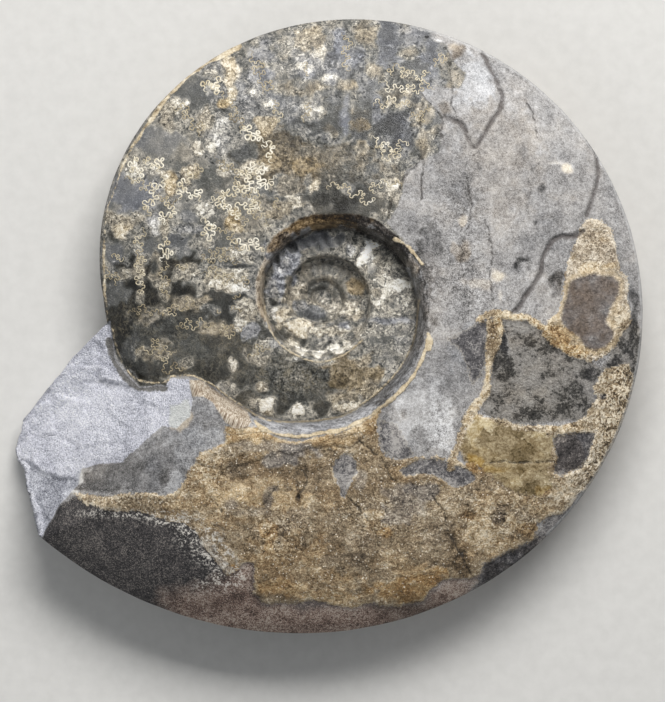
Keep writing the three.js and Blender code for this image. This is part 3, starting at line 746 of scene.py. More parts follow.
SHELL_TONES = [
    (-24.5, -58, 19, 13, 0.06, 0.3), (-7, -87, 19, 11, -0.05, 0.35), (25, -77.5, 19, 9.5, -0.02, 0),
    (2.5, -66, 13, 6.5, -0.08, 0), (54, -77.5, 9.5, 8, 0.15, 0.3), (34.5, -93.5, 16, 4, -0.05, 0.9),
    (86, 4, 14.5, 22.5, 0.2, -0.35), (62, -7.5, 13, 4.5, 0.4, 0.5), (50, -32.5, 4, 19, 0.4, 0.35),
    (92.5, -39, 9.5, 19, 0.22, 0.1), (-19, -54.5, 14.5, 3, -0.22, 0.15), (-26, -54.5, 6.5, 2, -0.2, 0),
    (-12.5, -51, 6.5, 3, -0.04, -0.8), (-22, -47.5, 5, 1.5, 0.12, -0.5), (-8, -48, 7, 3, 0.1, -0.8),
    (-19, -63.5, 14, 4, 0.28, 0.5), (-26, -63.5, 4, 2.5, 0.32, 0.6), (-17, -63.5, 1.5, 3, -0.12, -0.4),
    (-15, -60.5, 1.5, 1, -0.25, -0.4), (-22, -68, 7.5, 1.5, 0.1, -0.2), (-27.5, -66, 3, 1.5, -0.1, -0.4),
    (-7, -62, 0.5, 3, -0.5, 0), (-23.5, -47.5, 9, 2.5, 0.2, -0.35), (-28.5, -48.5, 5, 2, 0.25, 0),
    (-37, -55.5, 4, 3, 0.2, 0.35), (-43.5, -66, 7, 2.5, 0.08, 0.3), (-48, -62.5, 7.5, 1, 0.25, 0.3),
    (-16.5, -75.5, 2.5, 4.5, 0.12, 0.75), (-17, -72.5, 1, 1, 0.5, 0.4), (-16.5, -76, 1, 0.5, 0.7, 0.3),
    (-28.5, -86, 1.5, 1.5, 0.05, 1.6), (-13.5, -92.5, 7.5, 3, 0.08, 0.8), (2.5, -95, 9.5, 2, 0.05, 0.6),
    (-7, -84, 9.5, 4, 0.02, 0.4), (12.5, -57.5, 1.5, 3, 0.3, -0.5), (4.5, -64.5, 5, 4, -0.1, 0.2),
    (18, -70, 6.5, 3, 0.25, 0.35), (20.5, -75, 2.5, 1.5, 0, 0.9), (17, -72.5, 2.5, 1.5, 0.1, 0.3),
    (14, -69.5, 1.5, 1.5, 0.5, 0.1), (29, -86.5, 7, 2, 0.2, 0.45), (33, -90, 8.5, 1.5, -0.15, 0.9),
    (37.5, -87, 4, 1.5, 0.05, 1), (25, -94, 7.5, 1.5, -0.05, 0.9), (44.5, -84.5, 3, 4, -0.42, 0.1),
    (42, -79, 1.5, 3, -0.45, 0), (40, -74, 1.5, 2.5, -0.35, 0), (52.5, -73.5, 7, 9, 0.38, 0.35),
    (54, -64.5, 5, 3, 0.2, 0.35), (47, -69, 2, 2, -0.25, 0.5), (56.5, -70, 2, 4.5, -0.3, -0.1),
    (61, -64.5, 6.5, 2.5, 0.15, 0.3), (65, -73.5, 4.5, 3, -0.08, 0.55), (76.5, -61.5, 7.5, 3, 0.5, 0.05),
    (81, -57.5, 4, 2.5, 0.55, 0), (70, -67, 4.5, 2.5, 0.15, 0.25), (58.5, -75, 3, 1.5, 0.4, 0.1),
    (26.5, -66, 7.5, 6.5, 0.03, -0.45), (33, -61.5, 6, 3, -0.05, -0.7), (25, -57.5, 4.5, 1, -0.15, 0.4),
    (9, -84, 9.5, 3, -0.08, -0.1), (2.5, -45.5, 9.5, 2, 0.12, 0.55), (9, -41.5, 9.5, 2, 0.22, 0.7),
    (16, -38.5, 4, 2.5, 0.2, 0.5), (-25, -43.5, 8, 3, 0.3, 0.7), (-7, -44.5, 8, 2, 0.24, 0.7),
    (34.5, -72.5, 5, 4.5, 0.05, -0.1), (41, -64.5, 5, 4, 0.22, 0), (22, -84, 6.5, 3, 0.1, 0.2),
    (23.5, -55, 3, 2, 0.15, 0.4), (7.5, -98, 9.5, 1.5, -0.1, 0.6), (92.5, -30, 4, 8.5, 0.35, 0.2),
    (89.5, -31, 1.5, 1.5, -0.5, -1), (81, -64.5, 3, 3, 0.4, 0), (76.5, -69.5, 4, 1.5, 0.2, 0.1),
    (94.5, -6.5, 3.5, 4, 0.6, 0.05), (87, 20.5, 6, 5, 0.34, -0.3), (88, 9.5, 7, 1.5, 0.35, 0.3),
    (54, -12, 2, 5, -0.15, 0.1), (57, -6.5, 4.5, 1.5, 0.5, 0.9), (70, -10, 5, 1.5, 0.3, 0.8),
    (76, -12.5, 5, 3, -0.22, 0.7), (81, -16.5, 4.5, 2, 0.22, 0.9), (52.5, -25.5, 1, 1.5, 0.25, 1),
    (76.5, -42, 8.5, 1.5, 0.3, 0.3), (70, -43, 2, 1.5, 0.35, 0.5), (52, -40.5, 3, 2, 0.5, 0.5),
    (62, -59, 2.5, 2, 0.25, 0.2), (55.5, -45.5, 6, 3, 0.15, -0.1), (66.5, -48, 4, 3, -0.05, 0.1),
    (65, -54.5, 6.5, 1, -0.2, 0.1), (70, -61.5, 2.5, 1.5, 0.1, 0.5), (49, -52.5, 3, 3, -0.05, 0.9),
    (54, -55, 5, 1, -0.1, 0.6), (-37.5, -79, 4, 3, 0.35, -0.5), (-33, -85, 4, 5, 0.1, -0.6),
]
ROCK_TONES = [
    (66, -85, 16, 7.5, -0.32, 0.3), (42.5, 7.5, 8.5, 12, -0.09, 0), (-48.5, -50, 13, 11.5, -0.1, -0.15),
    (-39, -41.5, 4.5, 4, 0.02, -0.25), (-73.5, -23.5, 6.5, 5, -0.22, 0), (-44, -36.5, 2.5, 4.5, 0.12, 0),
    (47.5, 47.5, 19, 29, 0.02, 0), (49, 68, 6.5, 8.5, 0.15, -0.3), (57, 44, 19, 19, -0.03, 0.1),
    (76.5, 57, 9.5, 13, 0.02, -0.05), (70.5, 35, 1, 1, -0.35, 0), (66, 33, 1, 1, -0.3, 0),
    (63.5, 47.5, 2, 2, -0.12, 0), (67.5, 40.5, 1, 1.5, -0.2, 0), (68.5, 23.5, 0.5, 1, -0.4, 0),
    (62, 10.5, 1, 1.5, -0.4, 0), (64, 12, 1.5, 0.5, -0.4, 0), (66, 9.5, 0.5, 1, -0.3, 0),
    (74.5, 5.5, 2, 2.5, -0.4, 0.1), (76.5, 7.5, 2, 1, -0.4, 0.1), (74, 2, 1.5, 2, -0.25, 0),
    (78, 41, 1.5, 1.5, 0.55, 0.8), (75.5, 42.5, 2.5, 0.5, 0.35, 0.3), (31.5, 4, 3.5, 13.5, -0.28, 0.1),
    (35.5, 17, 3, 7, -0.18, 0), (39.5, 26.5, 2.5, 4.5, -0.05, 0.05), (56, 7, 2, 2.5, 0.28, 0.6),
    (49, 4.5, 4.5, 1.5, 0.1, 0.3), (56.5, 0.5, 0.5, 2, 0.3, 0.3), (45, 14, 1.5, 3, -0.15, 0.5),
    (44.5, 24.5, 1.5, 1.5, 0.2, 0.6), (42.5, 16, 1.5, 2, 0.1, 0.4), (44.5, 78.5, 2, 2, -0.25, 0.5),
    (42, 80, 2.5, 1, 0.05, 0.6), (35.5, 82.5, 2.5, 0.5, 0.6, 0), (39, 61, 1.5, 2, -0.2, 0.2),
    (94, -20.5, 3, 2, -0.35, -0.1), (47.5, -12, 3, 2, -0.1, 0), (68.5, -36.5, 7, 2, -0.25, 0.05),
    (71.5, -16, 3, 2, -0.3, 0), (66.5, -22, 5, 3.5, 0.08, 0.05), (72, -28, 3.5, 3, 0.1, 0),
    (84.5, -26, 2.5, 2, 0.18, 0), (62, -31, 3, 4, 0.06, 0.1), (71.5, -24.5, 2, 1, -0.2, 0),
    (69.5, -32.5, 2, 1.5, -0.2, 0), (63.5, -13.5, 4, 2, -0.15, 0.1), (38, -42, 4.5, 6.5, 0.28, 0),
    (25, -47, 5, 4.5, -0.02, -0.2), (30, -32.5, 7.5, 6.5, 0.2, -0.05), (22, -40.5, 2.5, 2.5, -0.15, -0.1),
    (-72.5, -59, 9, 3, -0.3, 0), (-64, -55, 9.5, 5, -0.18, 0), (-50, -50, 5, 4.5, -0.12, -0.1),
    (-40.5, -47, 6.5, 6, 0.03, -0.25), (-46, -59, 3, 3, 0.1, -0.2), (-37.5, -37.5, 4.5, 4, -0.04, -0.1),
    (-34.5, -43, 2.5, 2.5, 0.1, -0.2), (-50, -56.5, 1.5, 2, -0.2, 0), (-69.5, -24.5, 5, 3.5, -0.28, -0.1),
    (-74, -31, 13, 9.5, 0.06, 0), (-83.5, -39, 9.5, 7.5, 0.08, 0), (-87, -64.5, 4, 9.5, -0.22, 0),
    (-44.5, -37.5, 3, 4.5, 0.16, 0.7), (-78.5, -62.5, 1, 1, 0.6, 0.1), (-76.5, -57.5, 1, 1.5, 0.5, 0.1),
    (-35.5, -84.5, 3, 4, -0.2, -0.2), (-39, -71, 13, 1, 0.2, 0), (-24.5, -89.5, 2, 4.5, 0.12, 0.1),
    (44.5, -93, 8.5, 3, 0.3, -0.05), (63.5, -84, 6.5, 2, 0, -0.1), (72.5, -72.5, 3, 1.5, 0.15, -0.3),
    (-7, -100.5, 25.5, 2, 0.05, 0.2), (22, -100, 9.5, 2, -0.15, 0.3), (-29.5, -96.5, 9.5, 2.5, -0.05, 0.2),
    (81, -31, 4.5, 4.5, -0.25, 0), (86, -24.5, 4, 2, -0.28, -0.1), (57, -22.5, 3.5, 3.5, -0.28, 0),
    (76.5, -34, 4, 2.5, -0.2, 0), (58, -15, 1.5, 4, -0.35, -0.3), (100, -12, 1.5, 11.5, -0.28, 0),
    (98, -16, 2.5, 4, -0.25, -0.1), (7.5, -56.5, 4, 7, 0.26, 0.05), (23.5, -45, 4.5, 5, 0.2, -0.1),
    (46, -16.5, 6, 8, -0.04, -0.2), (79.5, -50, 6, 7, -0.24, 0.5), (38, -55.5, 9.5, 3, 0.02, -0.2),
    (-39, -79, 4, 3, 0.25, 0),
]
# Painted light and shade over wide areas, and the places where ribs and streaks show.
# Painted light and shade: the upper right and the inner whorl under the top of the umbilical wall lighter;
# the lower rim, the top of the wall and the hollow above it darker.
PAINTED_LIGHT_AND_SHADE = [
    (47.5, 66.5, 13, 11.5, 0.2), (92.5, 22, 8.5, 22.5, 0.08), (-66, -56, 11, 6, -0.2),
    (-6, -92, 40, 8, -0.1), (6, 26.5, 14, 4, -0.3), (6, 31, 8, 4.5, -0.28), (30, -100, 13, 5, -0.52),
    (-40, -97, 16, 6, -0.2), (52, -92, 8, 5, -0.3), (-12, 16, 4, 4, 0.35), (-3, 20, 6, 2.6, 0.38),
    (8, 20, 6, 2.6, 0.38), (16, 16.5, 4, 4, 0.4),
]
SMOOTH = [
    (-52, 50, 7, 4.5, 1), (-61, 33, 6.5, 7.5, 1), (-42, 66, 7, 4.5, 0.6), (-67, 14, 3, 3, 0.6),
    (8, 56, 1.5, 5, 0.8), (-20, 78, 4, 3, 0.5), (17, 66, 3, 3, 0.6),
]
FLAMED = [
    (-57, -11, 14, 12, 1.0), (-34, -18, 16, 11, 0.9), (-10, -25, 13, 8, 1.5), (14, -22, 10, 8, 0.6),
    (-60, 8, 8, 8, 0.5),
]
SHOULDER_WORN = [
    (-16, 19, 7, 7, 2.8), (-6, 24, 9, 5, 2.6), (6, 25, 10, 5, 2.4), (17, 23, 8, 6, 2.6),
    (24, 16, 6, 6, 2.4), (-21, 4, 4, 11, 1.4), (33, 4, 5, 12, 2.2),
]
RIB_SHOWS = [
    (-15, 10, 6, 14, 1.0), (-4, 18, 10, 6, 0.3), (14, 14, 8, 8, 0.75), (0, -17, 14, 5, 0.8),
    (0, 2, 9, 9, 0.22),
]
STREAKED = [
    (8, 68, 26, 18, 1.0), (30, 62, 14, 20, 0.8), (-20, 72, 18, 12, 0.5), (4, 44, 16, 9, 1.0),
    (24, 54, 12, 12, 0.5), (-50, 20, 16, 30, 0.25), (-55, -12, 14, 12, 0.35),
]
FROST = [
    (-47, -70.5, 7, 2, 1.3), (-40, -75, 5, 4, 1.6), (-36.5, -79.5, 5, 4, 1.7), (-31, -84.5, 3.5, 4, 1.4),
    (-28.5, -89, 4, 3.5, 1.1), (-35, -91.5, 5, 2.5, 0.9), (-62, -68.5, 14, 1.5, 1.0),
]
CRYSTALS = [
    (96, -34, 7, 18, 1.7), (88, -56, 8, 14, 1.4), (70, -42, 12, 3, 0.9), (66, -9, 14, 4, 0.8),
    (84, -18, 8, 4, 0.9), (86, 12, 12, 14, 0.3), (52, -38, 4, 8, 0.8), (-36, -54, 8, 8, 0.6),
    (-15, -74, 8, 8, 0.6), (20, -70, 16, 6, 0.4), (-60, -64, 16, 3, 0.5), (60, -70, 16, 8, 0.5),
    (38, -42, 5, 9, 0.9), (46, 2, 12, 10, 0.5), (44, 24, 6, 14, 0.4), (-10, -25, 12, 7, 1.7),
    (11, -24, 9, 6, 1.3), (-13, 44, 11, 9, 1.2), (10, 40, 14, 8, 0.8), (-50, -12, 18, 12, 0.4),
    (-19, -60, 14, 6, -0.6),
]


RIBS_PER_TURN = 31
# How far each kind of line reaches to either side, and the painted highlight in from the keel, in millimetres
# before noise roughens them.
LEDGE_SHADOW_REACH = 1.2
VEIN_REACH = 1.1
GROOVE_REACH = 0.7
CRACK_REACH = 0.25
CREAM_REACH = 0.62
THIN_REACH = 0.26
KEEL_HIGHLIGHT_REACH = 0.7
# The radius at which the mark "around" counts true millimetres.
AROUND_RADIUS = 75


def near_lines(lines, x, y):
    """Distance to the nearest of several smoothed lines."""
    return np.minimum.reduce([from_line(rounded(line), x, y) for line in lines])


def marks_at(x, y):
    """Everything painted or carved on the stone, as named numbers for each place."""
    bend_x = 1.1 * clouds(x, y, 5.5, 11) + 0.5 * clouds(x, y, 1.9, 12)
    bend_y = 1.1 * clouds(x, y, 5.5, 21) + 0.5 * clouds(x, y, 1.9, 22)
    rx, ry = x + bend_x, y + bend_y
    sx, sy = x + 0.45 * bend_x, y + 0.45 * bend_y
    turn, radius = whorl_at(x, y), np.hypot(x, y)
    crest, worn = crest_radius(turn), np.minimum(tinged(SHOULDER_WORN, x, y), 4.5)
    wall = np.minimum(radius - seam_radius(turn), crest + worn * (1 + 0.3 * clouds(x, y, 4.0, 46)) - radius)
    made = {"wall": np.where((turn > -0.1) & (turn < 0.9), wall, -2)}
    made["worn"] = np.where(turn > -0.1, worn * (1 - eased(radius - crest, -1, worn + 0.5)), 0)
    made["chambered"] = within(CHAMBERED, sx, sy)
    made["broken"] = within(BROKEN, sx, sy)
    made["foot"] = within(BROKEN_FOOT, sx, sy)
    made["charcoal"] = within(CHARCOAL, rx, ry)
    made["layer"] = within(SHELL_LAYER, sx, sy)
    made["crystals"] = tinged(CRYSTALS, x, y)
    made["smooth"] = tinged(SMOOTH, rx, ry)
    made["flamed"] = tinged(FLAMED, x, y)
    made["ledge"] = LEDGE_SHADOW_REACH - near_lines([SHADOWED_LEDGE_LINE], sx, sy)
    made["rim_brown"] = within(RIM_BROWN, rx, ry)
    slate = np.maximum.reduce([within(outline, sx, sy) for outline in SLATE])
    slate = np.maximum(slate, within(GREY_WINDOW, sx, sy))
    crust = np.maximum(within(BROWN_SHELL, rx, ry), within(RIM_SHELL, sx, sy))
    vein = VEIN_REACH - near_lines(VEINS, sx, sy) + 0.7 * clouds(x, y, 3.5, 31)
    made["tan"] = np.maximum.reduce([within(TAN_SHELL, sx, sy), within(VEIN_SHELL, sx, sy), vein])
    made["amber"] = within(AMBER_SHELL, sx, sy)
    made["round"] = within(BROWN_ROUND, sx, sy)
    made["slate"] = slate
    made["shell"] = np.maximum(np.minimum(np.maximum(crust, made["amber"]), -slate), made["tan"])
    made["coarse"] = np.maximum.reduce([within(outline, rx, ry) for outline in COARSE])
    made["fibrous"] = within(FIBROUS, sx, sy)
    made["groove"] = GROOVE_REACH - near_lines(GROOVES, sx, sy) + 0.3 * clouds(x, y, 6.0, 45)
    made["crack"] = CRACK_REACH - near_lines(CRACKS, rx, ry)
    cream = CREAM_REACH - near_lines(CREAM_LINES, sx, sy) + 0.6 * clouds(x, y, 3.0, 41)
    thin = THIN_REACH - near_lines(THIN_LINES, x, y)
    keel_width = 0.3 + 0.35 * eased(y, 30, 60) + 0.8 * eased(y, 66, 76) + 0.35 * clouds(x, y, 7.0, 42)
    made["keel_shell"] = keel_width - from_line(rounded(KEEL_SHELL), sx, sy)
    made["cream"] = np.maximum.reduce([cream, thin, made["keel_shell"]])
    # Painted highlight: a pale strip along the keel on the right, where the light catches the edge.
    rubbed = KEEL_HIGHLIGHT_REACH - (outline_radius(turn) - radius) + 0.4 * clouds(x, y, 7.0, 47)
    made["rubbed"] = np.where((turn > 0.3) & (turn < 0.63), rubbed, -2)
    inside = eased(made["chambered"], -0.3, 0.3)
    on_wall = eased(made["wall"], -0.3, 0.3)
    chamber_tone, chamber_warmth = toned(CHAMBER_TONES, rx, ry)
    on_shell = eased(made["shell"], -0.4, 0.4)
    outer_tone, outer_warmth = toned(ROCK_TONES, rx, ry)
    shell_tone, shell_warmth = toned(SHELL_TONES, rx, ry)
    outer_tone += (shell_tone - outer_tone) * on_shell
    outer_warmth += (shell_warmth - outer_warmth) * on_shell
    wall_tone, wall_warmth = toned(WALL_TONES, sx, sy)
    made["tone"] = outer_tone + (chamber_tone - outer_tone) * inside
    made["warmth"] = outer_warmth + (chamber_warmth - outer_warmth) * inside
    made["tone"] += (wall_tone - made["tone"]) * on_wall
    made["warmth"] += (wall_warmth - made["warmth"]) * on_wall
    # Painted light and shade over wide areas.
    made["shade"] = tinged(PAINTED_LIGHT_AND_SHADE, x, y)
    made["frost"] = tinged(FROST, x, y)
    made["streaked"] = tinged(STREAKED, x, y)
    made["around"] = AROUND_RADIUS * np.arctan2(x, y)
    made["outward"] = radius
    next_seam = seam_radius(np.minimum(turn + 1, LAST_TURN))
    share = np.clip((radius - crest_radius(turn)) / np.maximum(next_seam - crest_radius(turn), 1), 0, 1)
    strength = eased(turn, -2.6, -2.2) * (1 - eased(turn, -0.5, -0.3)) * np.sin(math.pi * share ** 0.8) ** 0.7
    strength = strength * np.clip(tinged(RIB_SHOWS, x, y) * (0.8 + 0.8 * clouds(x, y, 4.0, 43)), 0, 1.2)
    uneven = 0.5 * clouds(x, y, 6.0, 44)
    made["rib"] = strength * np.cos(FULL_TURN * (RIBS_PER_TURN * turn + 0.4 * share + uneven))
    # Painted shadow along the seams where the whorls meet: the mark is minus the distance to the nearest
    # seam.
    foot = np.minimum(np.abs(radius - seam_radius(turn)), np.abs(next_seam - radius))
    made["crease"] = np.where((turn < 0) & (turn > -1.02) | (made["wall"] > -0.5), -foot, -9)
    return made


# Heights and depths of the relief in millimetres, each for a mark of strength 1.
SHELL_RAISE = 0.75
TAN_LOWER = 0.3
ROUND_LOWER = 0.35
LAYER_RAISE = 0.5
GROOVE_DEPTH = 0.8
CRACK_DEPTH = 0.35
WORN_DEPTH = 0.34
CREAM_RAISE = 0.2
ROCK_LOWER = 0.3
FOOT_LOWER = 1.3
FIBROUS_RAISE = 0.45
RIB_RAISE = 0.3


def relief(marks, x, y):
    """Height in mm that the worn, cracked and crusted surface adds to the smooth stone."""
    fine = clouds(x, y, 1.3, 51)
    level = 0.16 * clouds(x, y, 13.0, 52) + 0.05 * clouds(x, y, 3.5, 53)
    crust = eased(marks["shell"], -0.35, 0.55) * (1 - 0.75 * np.clip(marks["frost"], 0, 1))
    smooth_shell = eased(marks["amber"], 0, 1.5)
    grainy = 0.32 * fine + 0.22 * clouds(x, y, 4.5, 54)
    thickness = SHELL_RAISE - TAN_LOWER * eased(marks["tan"], -0.5, 0.5)
    level += crust * (thickness + (1 - 0.8 * smooth_shell) * grainy)
    level -= ROUND_LOWER * eased(marks["round"], -0.4, 0.8)
    level += LAYER_RAISE * eased(marks["layer"], -0.3, 0.4) * crust
    level -= GROOVE_DEPTH * eased(marks["groove"], -0.6, 0.9)
    level -= CRACK_DEPTH * eased(marks["crack"], -0.5, 0.3)
    level -= WORN_DEPTH * marks["worn"]
    level += CREAM_RAISE * eased(marks["cream"], -0.4, 0.3)
    level += 0.3 * marks["tone"] * eased(marks["shell"], 0, 1) + 0.16 * marks["tone"]
    level += 0.18 * eased(marks["coarse"], -0.4, 0.8) * fine
    rock = eased(marks["broken"], -0.4, 0.6)
    hackly = facets(x, y, 12.0, 61, tilt=0.1, step=0.3) + facets(x, y, 4.2, 62, tilt=0.12, step=0.08)
    hackly += 0.15 * clouds(x, y, 1.3, 63)
    hackly += 0.14 * (y + 25) * eased(within(BROKEN_HOLLOW, x, y), -0.5, 1.5)
    hackly -= FOOT_LOWER * eased(marks["foot"], -0.3, 0.5)
    level += rock * (hackly - ROCK_LOWER)
    level += FIBROUS_RAISE * eased(marks["fibrous"], -0.3, 0.5)
    level += RIB_RAISE * marks["rib"]
    chambers = eased(marks["chambered"], -0.5, 0.8)
    uneven = eased(marks["tone"], -0.3, 0.1)
    level += chambers * uneven * (0.16 * clouds(x, y, 2.4, 64) + 0.14 * clouds(x, y, 6.0, 65))
    return level


# The points of the skin: an even scatter, closer together where the surface is rough.
UMBILICUS_RADIUS = 46
SPACING = {"umbilicus": 0.56, "rough": 0.66, "plain": 0.8, "under": 1.9, "edge": 0.75, "seam": 0.5}
SEAM_END = 0.925
SEAM_PAIR_GAP = 0.45
SEAM_CLEARANCE = 0.32
# These four are shares of the spacing.
CLOSER_ON_BREAK = 0.8
ROW_SHARE = 0.866
SHAKE = 0.13
EDGE_CLEARANCE = 0.55
ROUGH_AREA = [
    (-104, -30), (-70, -8), (-60, -30), (-40, -24), (-15, -44), (20, -40), (50, -4), (84, 28), (102, 20),
    (103, -20), (90, -62), (50, -98), (-25, -103), (-60, -72), (-92, -82), (-104, -60),
]


def edge_points():
    """The stone's outline seen from above, a little ragged where it is broken."""
    points = []
    turn = LAST_TURN - 1
    while turn < LAST_TURN:
        radius = float(outline_radius(np.array(turn)))
        x, y = -radius * math.cos(FULL_TURN * turn), radius * math.sin(FULL_TURN * turn)
        points.append((x, y))
        turn += SPACING["edge"] / (FULL_TURN * radius) * (CLOSER_ON_BREAK if turn > BREAK_TURNS[0] else 1)
    made = np.array(points)
    x, y = made.T
    turns = edge_turn(phase_of(x, y))
    broken = eased(turns, BREAK_TURNS[0], BREAK_TURNS[0] + 0.01)
    broken = broken * (1 - eased(turns, LAST_TURN - 0.02, LAST_TURN))
    torn = 0.5 * clouds(x, y, 3.6, 71) + 0.35 * clouds(x, y, 1.4, 73, 2)
    ragged = torn * broken + 0.1 * clouds(x, y, 6.0, 72)
    return made * (1 + ragged / np.hypot(x, y))[:, None]


def scatter(spacing, seed):
    """An even, slightly shaken scatter of places over the whole stone."""
    reach = 104
    rows = int(2 * reach / (spacing * ROW_SHARE))
    columns = int(2 * reach / spacing)
    column, row = np.meshgrid(np.arange(columns), np.arange(rows))
    x = -reach + (column + 0.5 * (row % 2)) * spacing
    y = -reach + row * spacing * ROW_SHARE
    points = np.stack([x.ravel(), y.ravel()], axis=1)
    points += np.random.default_rng(seed).normal(0, SHAKE * spacing, points.shape)
    radius = np.hypot(*points.T)
    return points[radius < outline_radius(edge_turn(phase_of(*points.T))) - EDGE_CLEARANCE * spacing]


def seam_points():
    """Points along every seam on the upper side, so that the fold there is sharp."""
    points = []
    turn = FIRST_TURN
    while turn < SEAM_END:
        radius = float(seam_radius(np.array(turn)))
        for at in (radius, radius + SEAM_PAIR_GAP):
            points.append((-at * math.cos(FULL_TURN * turn), at * math.sin(FULL_TURN * turn)))
        turn += SPACING["seam"] / (FULL_TURN * radius)
    return np.array(points)


def clear_of(points, others, gap):
    """The points that keep this gap from all the others."""
    size = max(gap, 0.3)
    taken = {}
    for x, y in others:
        taken.setdefault((int(x // size), int(y // size)), []).append((x, y))
    kept = []
    for x, y in points:
        i, j = int(x // size), int(y // size)
        near = [q for di in (-1, 0, 1) for dj in (-1, 0, 1) for q in taken.get((i + di, j + dj), ())]
        if all((x - qx) ** 2 + (y - qy) ** 2 > gap * gap for qx, qy in near):
            kept.append((x, y))
    return np.array(kept)


def triangulate(points, edge_count):
    ring = [(index, (index + 1) % edge_count) for index in range(edge_count)]
    made = delaunay_2d_cdt([Vector(point) for point in points], ring, [], 1, 1e-7)
    return np.array([tuple(point) for point in made[0]]), made[2]


outline = edge_points()
in_umbilicus = scatter(SPACING["umbilicus"], 81)
in_umbilicus = in_umbilicus[np.hypot(*in_umbilicus.T) < UMBILICUS_RADIUS]
in_rough = scatter(SPACING["rough"], 82)
in_rough = in_rough[(np.hypot(*in_rough.T) >= UMBILICUS_RADIUS) & (within(ROUGH_AREA, *in_rough.T) > 0)]
in_plain = scatter(SPACING["plain"], 83)
in_plain = in_plain[(np.hypot(*in_plain.T) >= UMBILICUS_RADIUS) & (within(ROUGH_AREA, *in_plain.T) <= 0)]
seams = seam_points()
upper_cloud = clear_of(np.concatenate([in_umbilicus, in_rough, in_plain]), seams, SEAM_CLEARANCE)
upper_cloud = np.concatenate([outline, seams, upper_cloud])
under_cloud = np.concatenate([outline, scatter(SPACING["under"], 84)])
upper_places, upper_faces = triangulate(upper_cloud, len(outline))
under_places, under_faces = triangulate(under_cloud, len(outline))

# Levels. The outline is shared by both sides, and lies at the keel's level or on the break.
edge_x, edge_y = outline.T
edge_turns = edge_turn(phase_of(edge_x, edge_y))
whole_levels = keel_level(edge_turns)
broken_levels = np.minimum(whole_levels, break_level(edge_x, edge_y))
edge_levels = np.where(edge_turns > BREAK_FIRST_TURN, broken_levels, whole_levels)


def from_edge(x, y):
    """Distance in from the outline, along the radius."""
    return outline_radius(edge_turn(phase_of(x, y))) - np.hypot(x, y)


upper_x, upper_y = upper_places[len(outline):].T
upper_marks = marks_at(upper_x, upper_y)
fade = eased(from_edge(upper_x, upper_y), 0, 1.2)
upper_levels = skin_level(UPPER, upper_x, upper_y) + fade * relief(upper_marks, upper_x, upper_y)

# The underside's patches are the upper side's, turned round the coil near the edge and bent by noise. The
# marks in SAME_BOTH_SIDES lie in the same places above and below.
UNDER_TURN = 0.55
UNDER_TURN_FADE = (18, 50)
UNDER_DRIFT = 15
UNDER_DRIFT_FADE = (2, 34)
UNDER_DRIFT_SIZE = 30.0
SAME_BOTH_SIDES = ("rib", "wall", "crease", "worn", "broken", "foot", "ledge", "cream", "keel_shell",
                   "rubbed", "fibrous")

under_x, under_y = under_places[len(outline):].T
inward = from_edge(under_x, under_y)
turned = UNDER_TURN * (1 - eased(inward, *UNDER_TURN_FADE))
drift = UNDER_DRIFT * eased(inward, *UNDER_DRIFT_FADE)
bent_x = under_x * np.cos(turned) + under_y * np.sin(turned)
bent_x = bent_x + drift * clouds(under_x, under_y, UNDER_DRIFT_SIZE, 91, 2)
bent_y = under_y * np.cos(turned) - under_x * np.sin(turned)
bent_y = bent_y + drift * clouds(under_x, under_y, UNDER_DRIFT_SIZE, 95, 2)
under_marks = marks_at(bent_x, bent_y)
shape_marks = marks_at(under_x, under_y)
for name in SAME_BOTH_SIDES:
    under_marks[name] = shape_marks[name]
fade = eased(from_edge(under_x, under_y), 0, 1.5)
smooth_level = skin_level(UNDERSIDE, under_x, under_y)
under_levels = smooth_level - fade * eased(smooth_level, 0, 1.5) * relief(under_marks, under_x, under_y)
under_levels = np.maximum(under_levels, 0)

# The coil's axis in the part's frame: the middle of the outline's box lies over the middle of the part's.
outline_turns = np.linspace(LAST_TURN - 1, LAST_TURN, STEPS_PER_TURN + 1)
outline_x = -outline_radius(outline_turns) * np.cos(FULL_TURN * outline_turns)
outline_y = outline_radius(outline_turns) * np.sin(FULL_TURN * outline_turns)
axis_x = (cad_low.x + cad_high.x) / 2 - MM * (outline_x.min() + outline_x.max()) / 2
axis_y = (cad_low.y + cad_high.y) / 2 - MM * (outline_y.min() + outline_y.max()) / 2


def placed(x, y, level):
    """Points in metres in the part's frame, from millimetres round the coil's axis."""
    return np.stack([axis_x + MM * x, axis_y + MM * y, cad_low.z + MM * level], axis=1)


points = np.concatenate([placed(edge_x, edge_y, edge_levels), placed(upper_x, upper_y, upper_levels),
                         placed(under_x, under_y, under_levels)])
inner_count = len(upper_x)
faces = [tuple(face) for face in upper_faces]
for face in under_faces:
    faces.append(tuple(index if index < len(outline) else index + inner_count for index in reversed(face)))

# The stone's finish. Every kind of stone has its own colours, from its darkest to its lightest, with a warmer
# and a colder set; its grain decides where between them each place lies.
def place_in_mm(start):
    """The place that is being coloured, in millimetres."""
    place = start.add("ShaderNodeTexCoord", {}, {}, output="Object")
    return place.add("ShaderNodeVectorMath", {"operation": "SCALE"}, {0: place, "Scale": 1 / MM})


stone, start = new_material("fossil_stone")
place = place_in_mm(start)


def mark(name):
    return start.add("ShaderNodeAttribute", {"attribute_name": name}, {}, output="Fac")


def shifted(size, reach):
    """This place, pushed about by noise of this size."""
    sockets = {"Vector": place, "Scale": 1 / size, "Detail": 2.0}
    push = place.add("ShaderNodeTexNoise", {}, sockets, output="Color")
    push = push.add("ShaderNodeVectorMath", {"operation": "SUBTRACT"}, {0: push, 1: (0.5, 0.5, 0.5)})
    push = push.add("ShaderNodeVectorMath", {"operation": "SCALE"}, {0: push, "Scale": reach})
    return place.add("ShaderNodeVectorMath", {"operation": "ADD"}, {0: place, 1: push})


bent = shifted(3.0, 3.2)


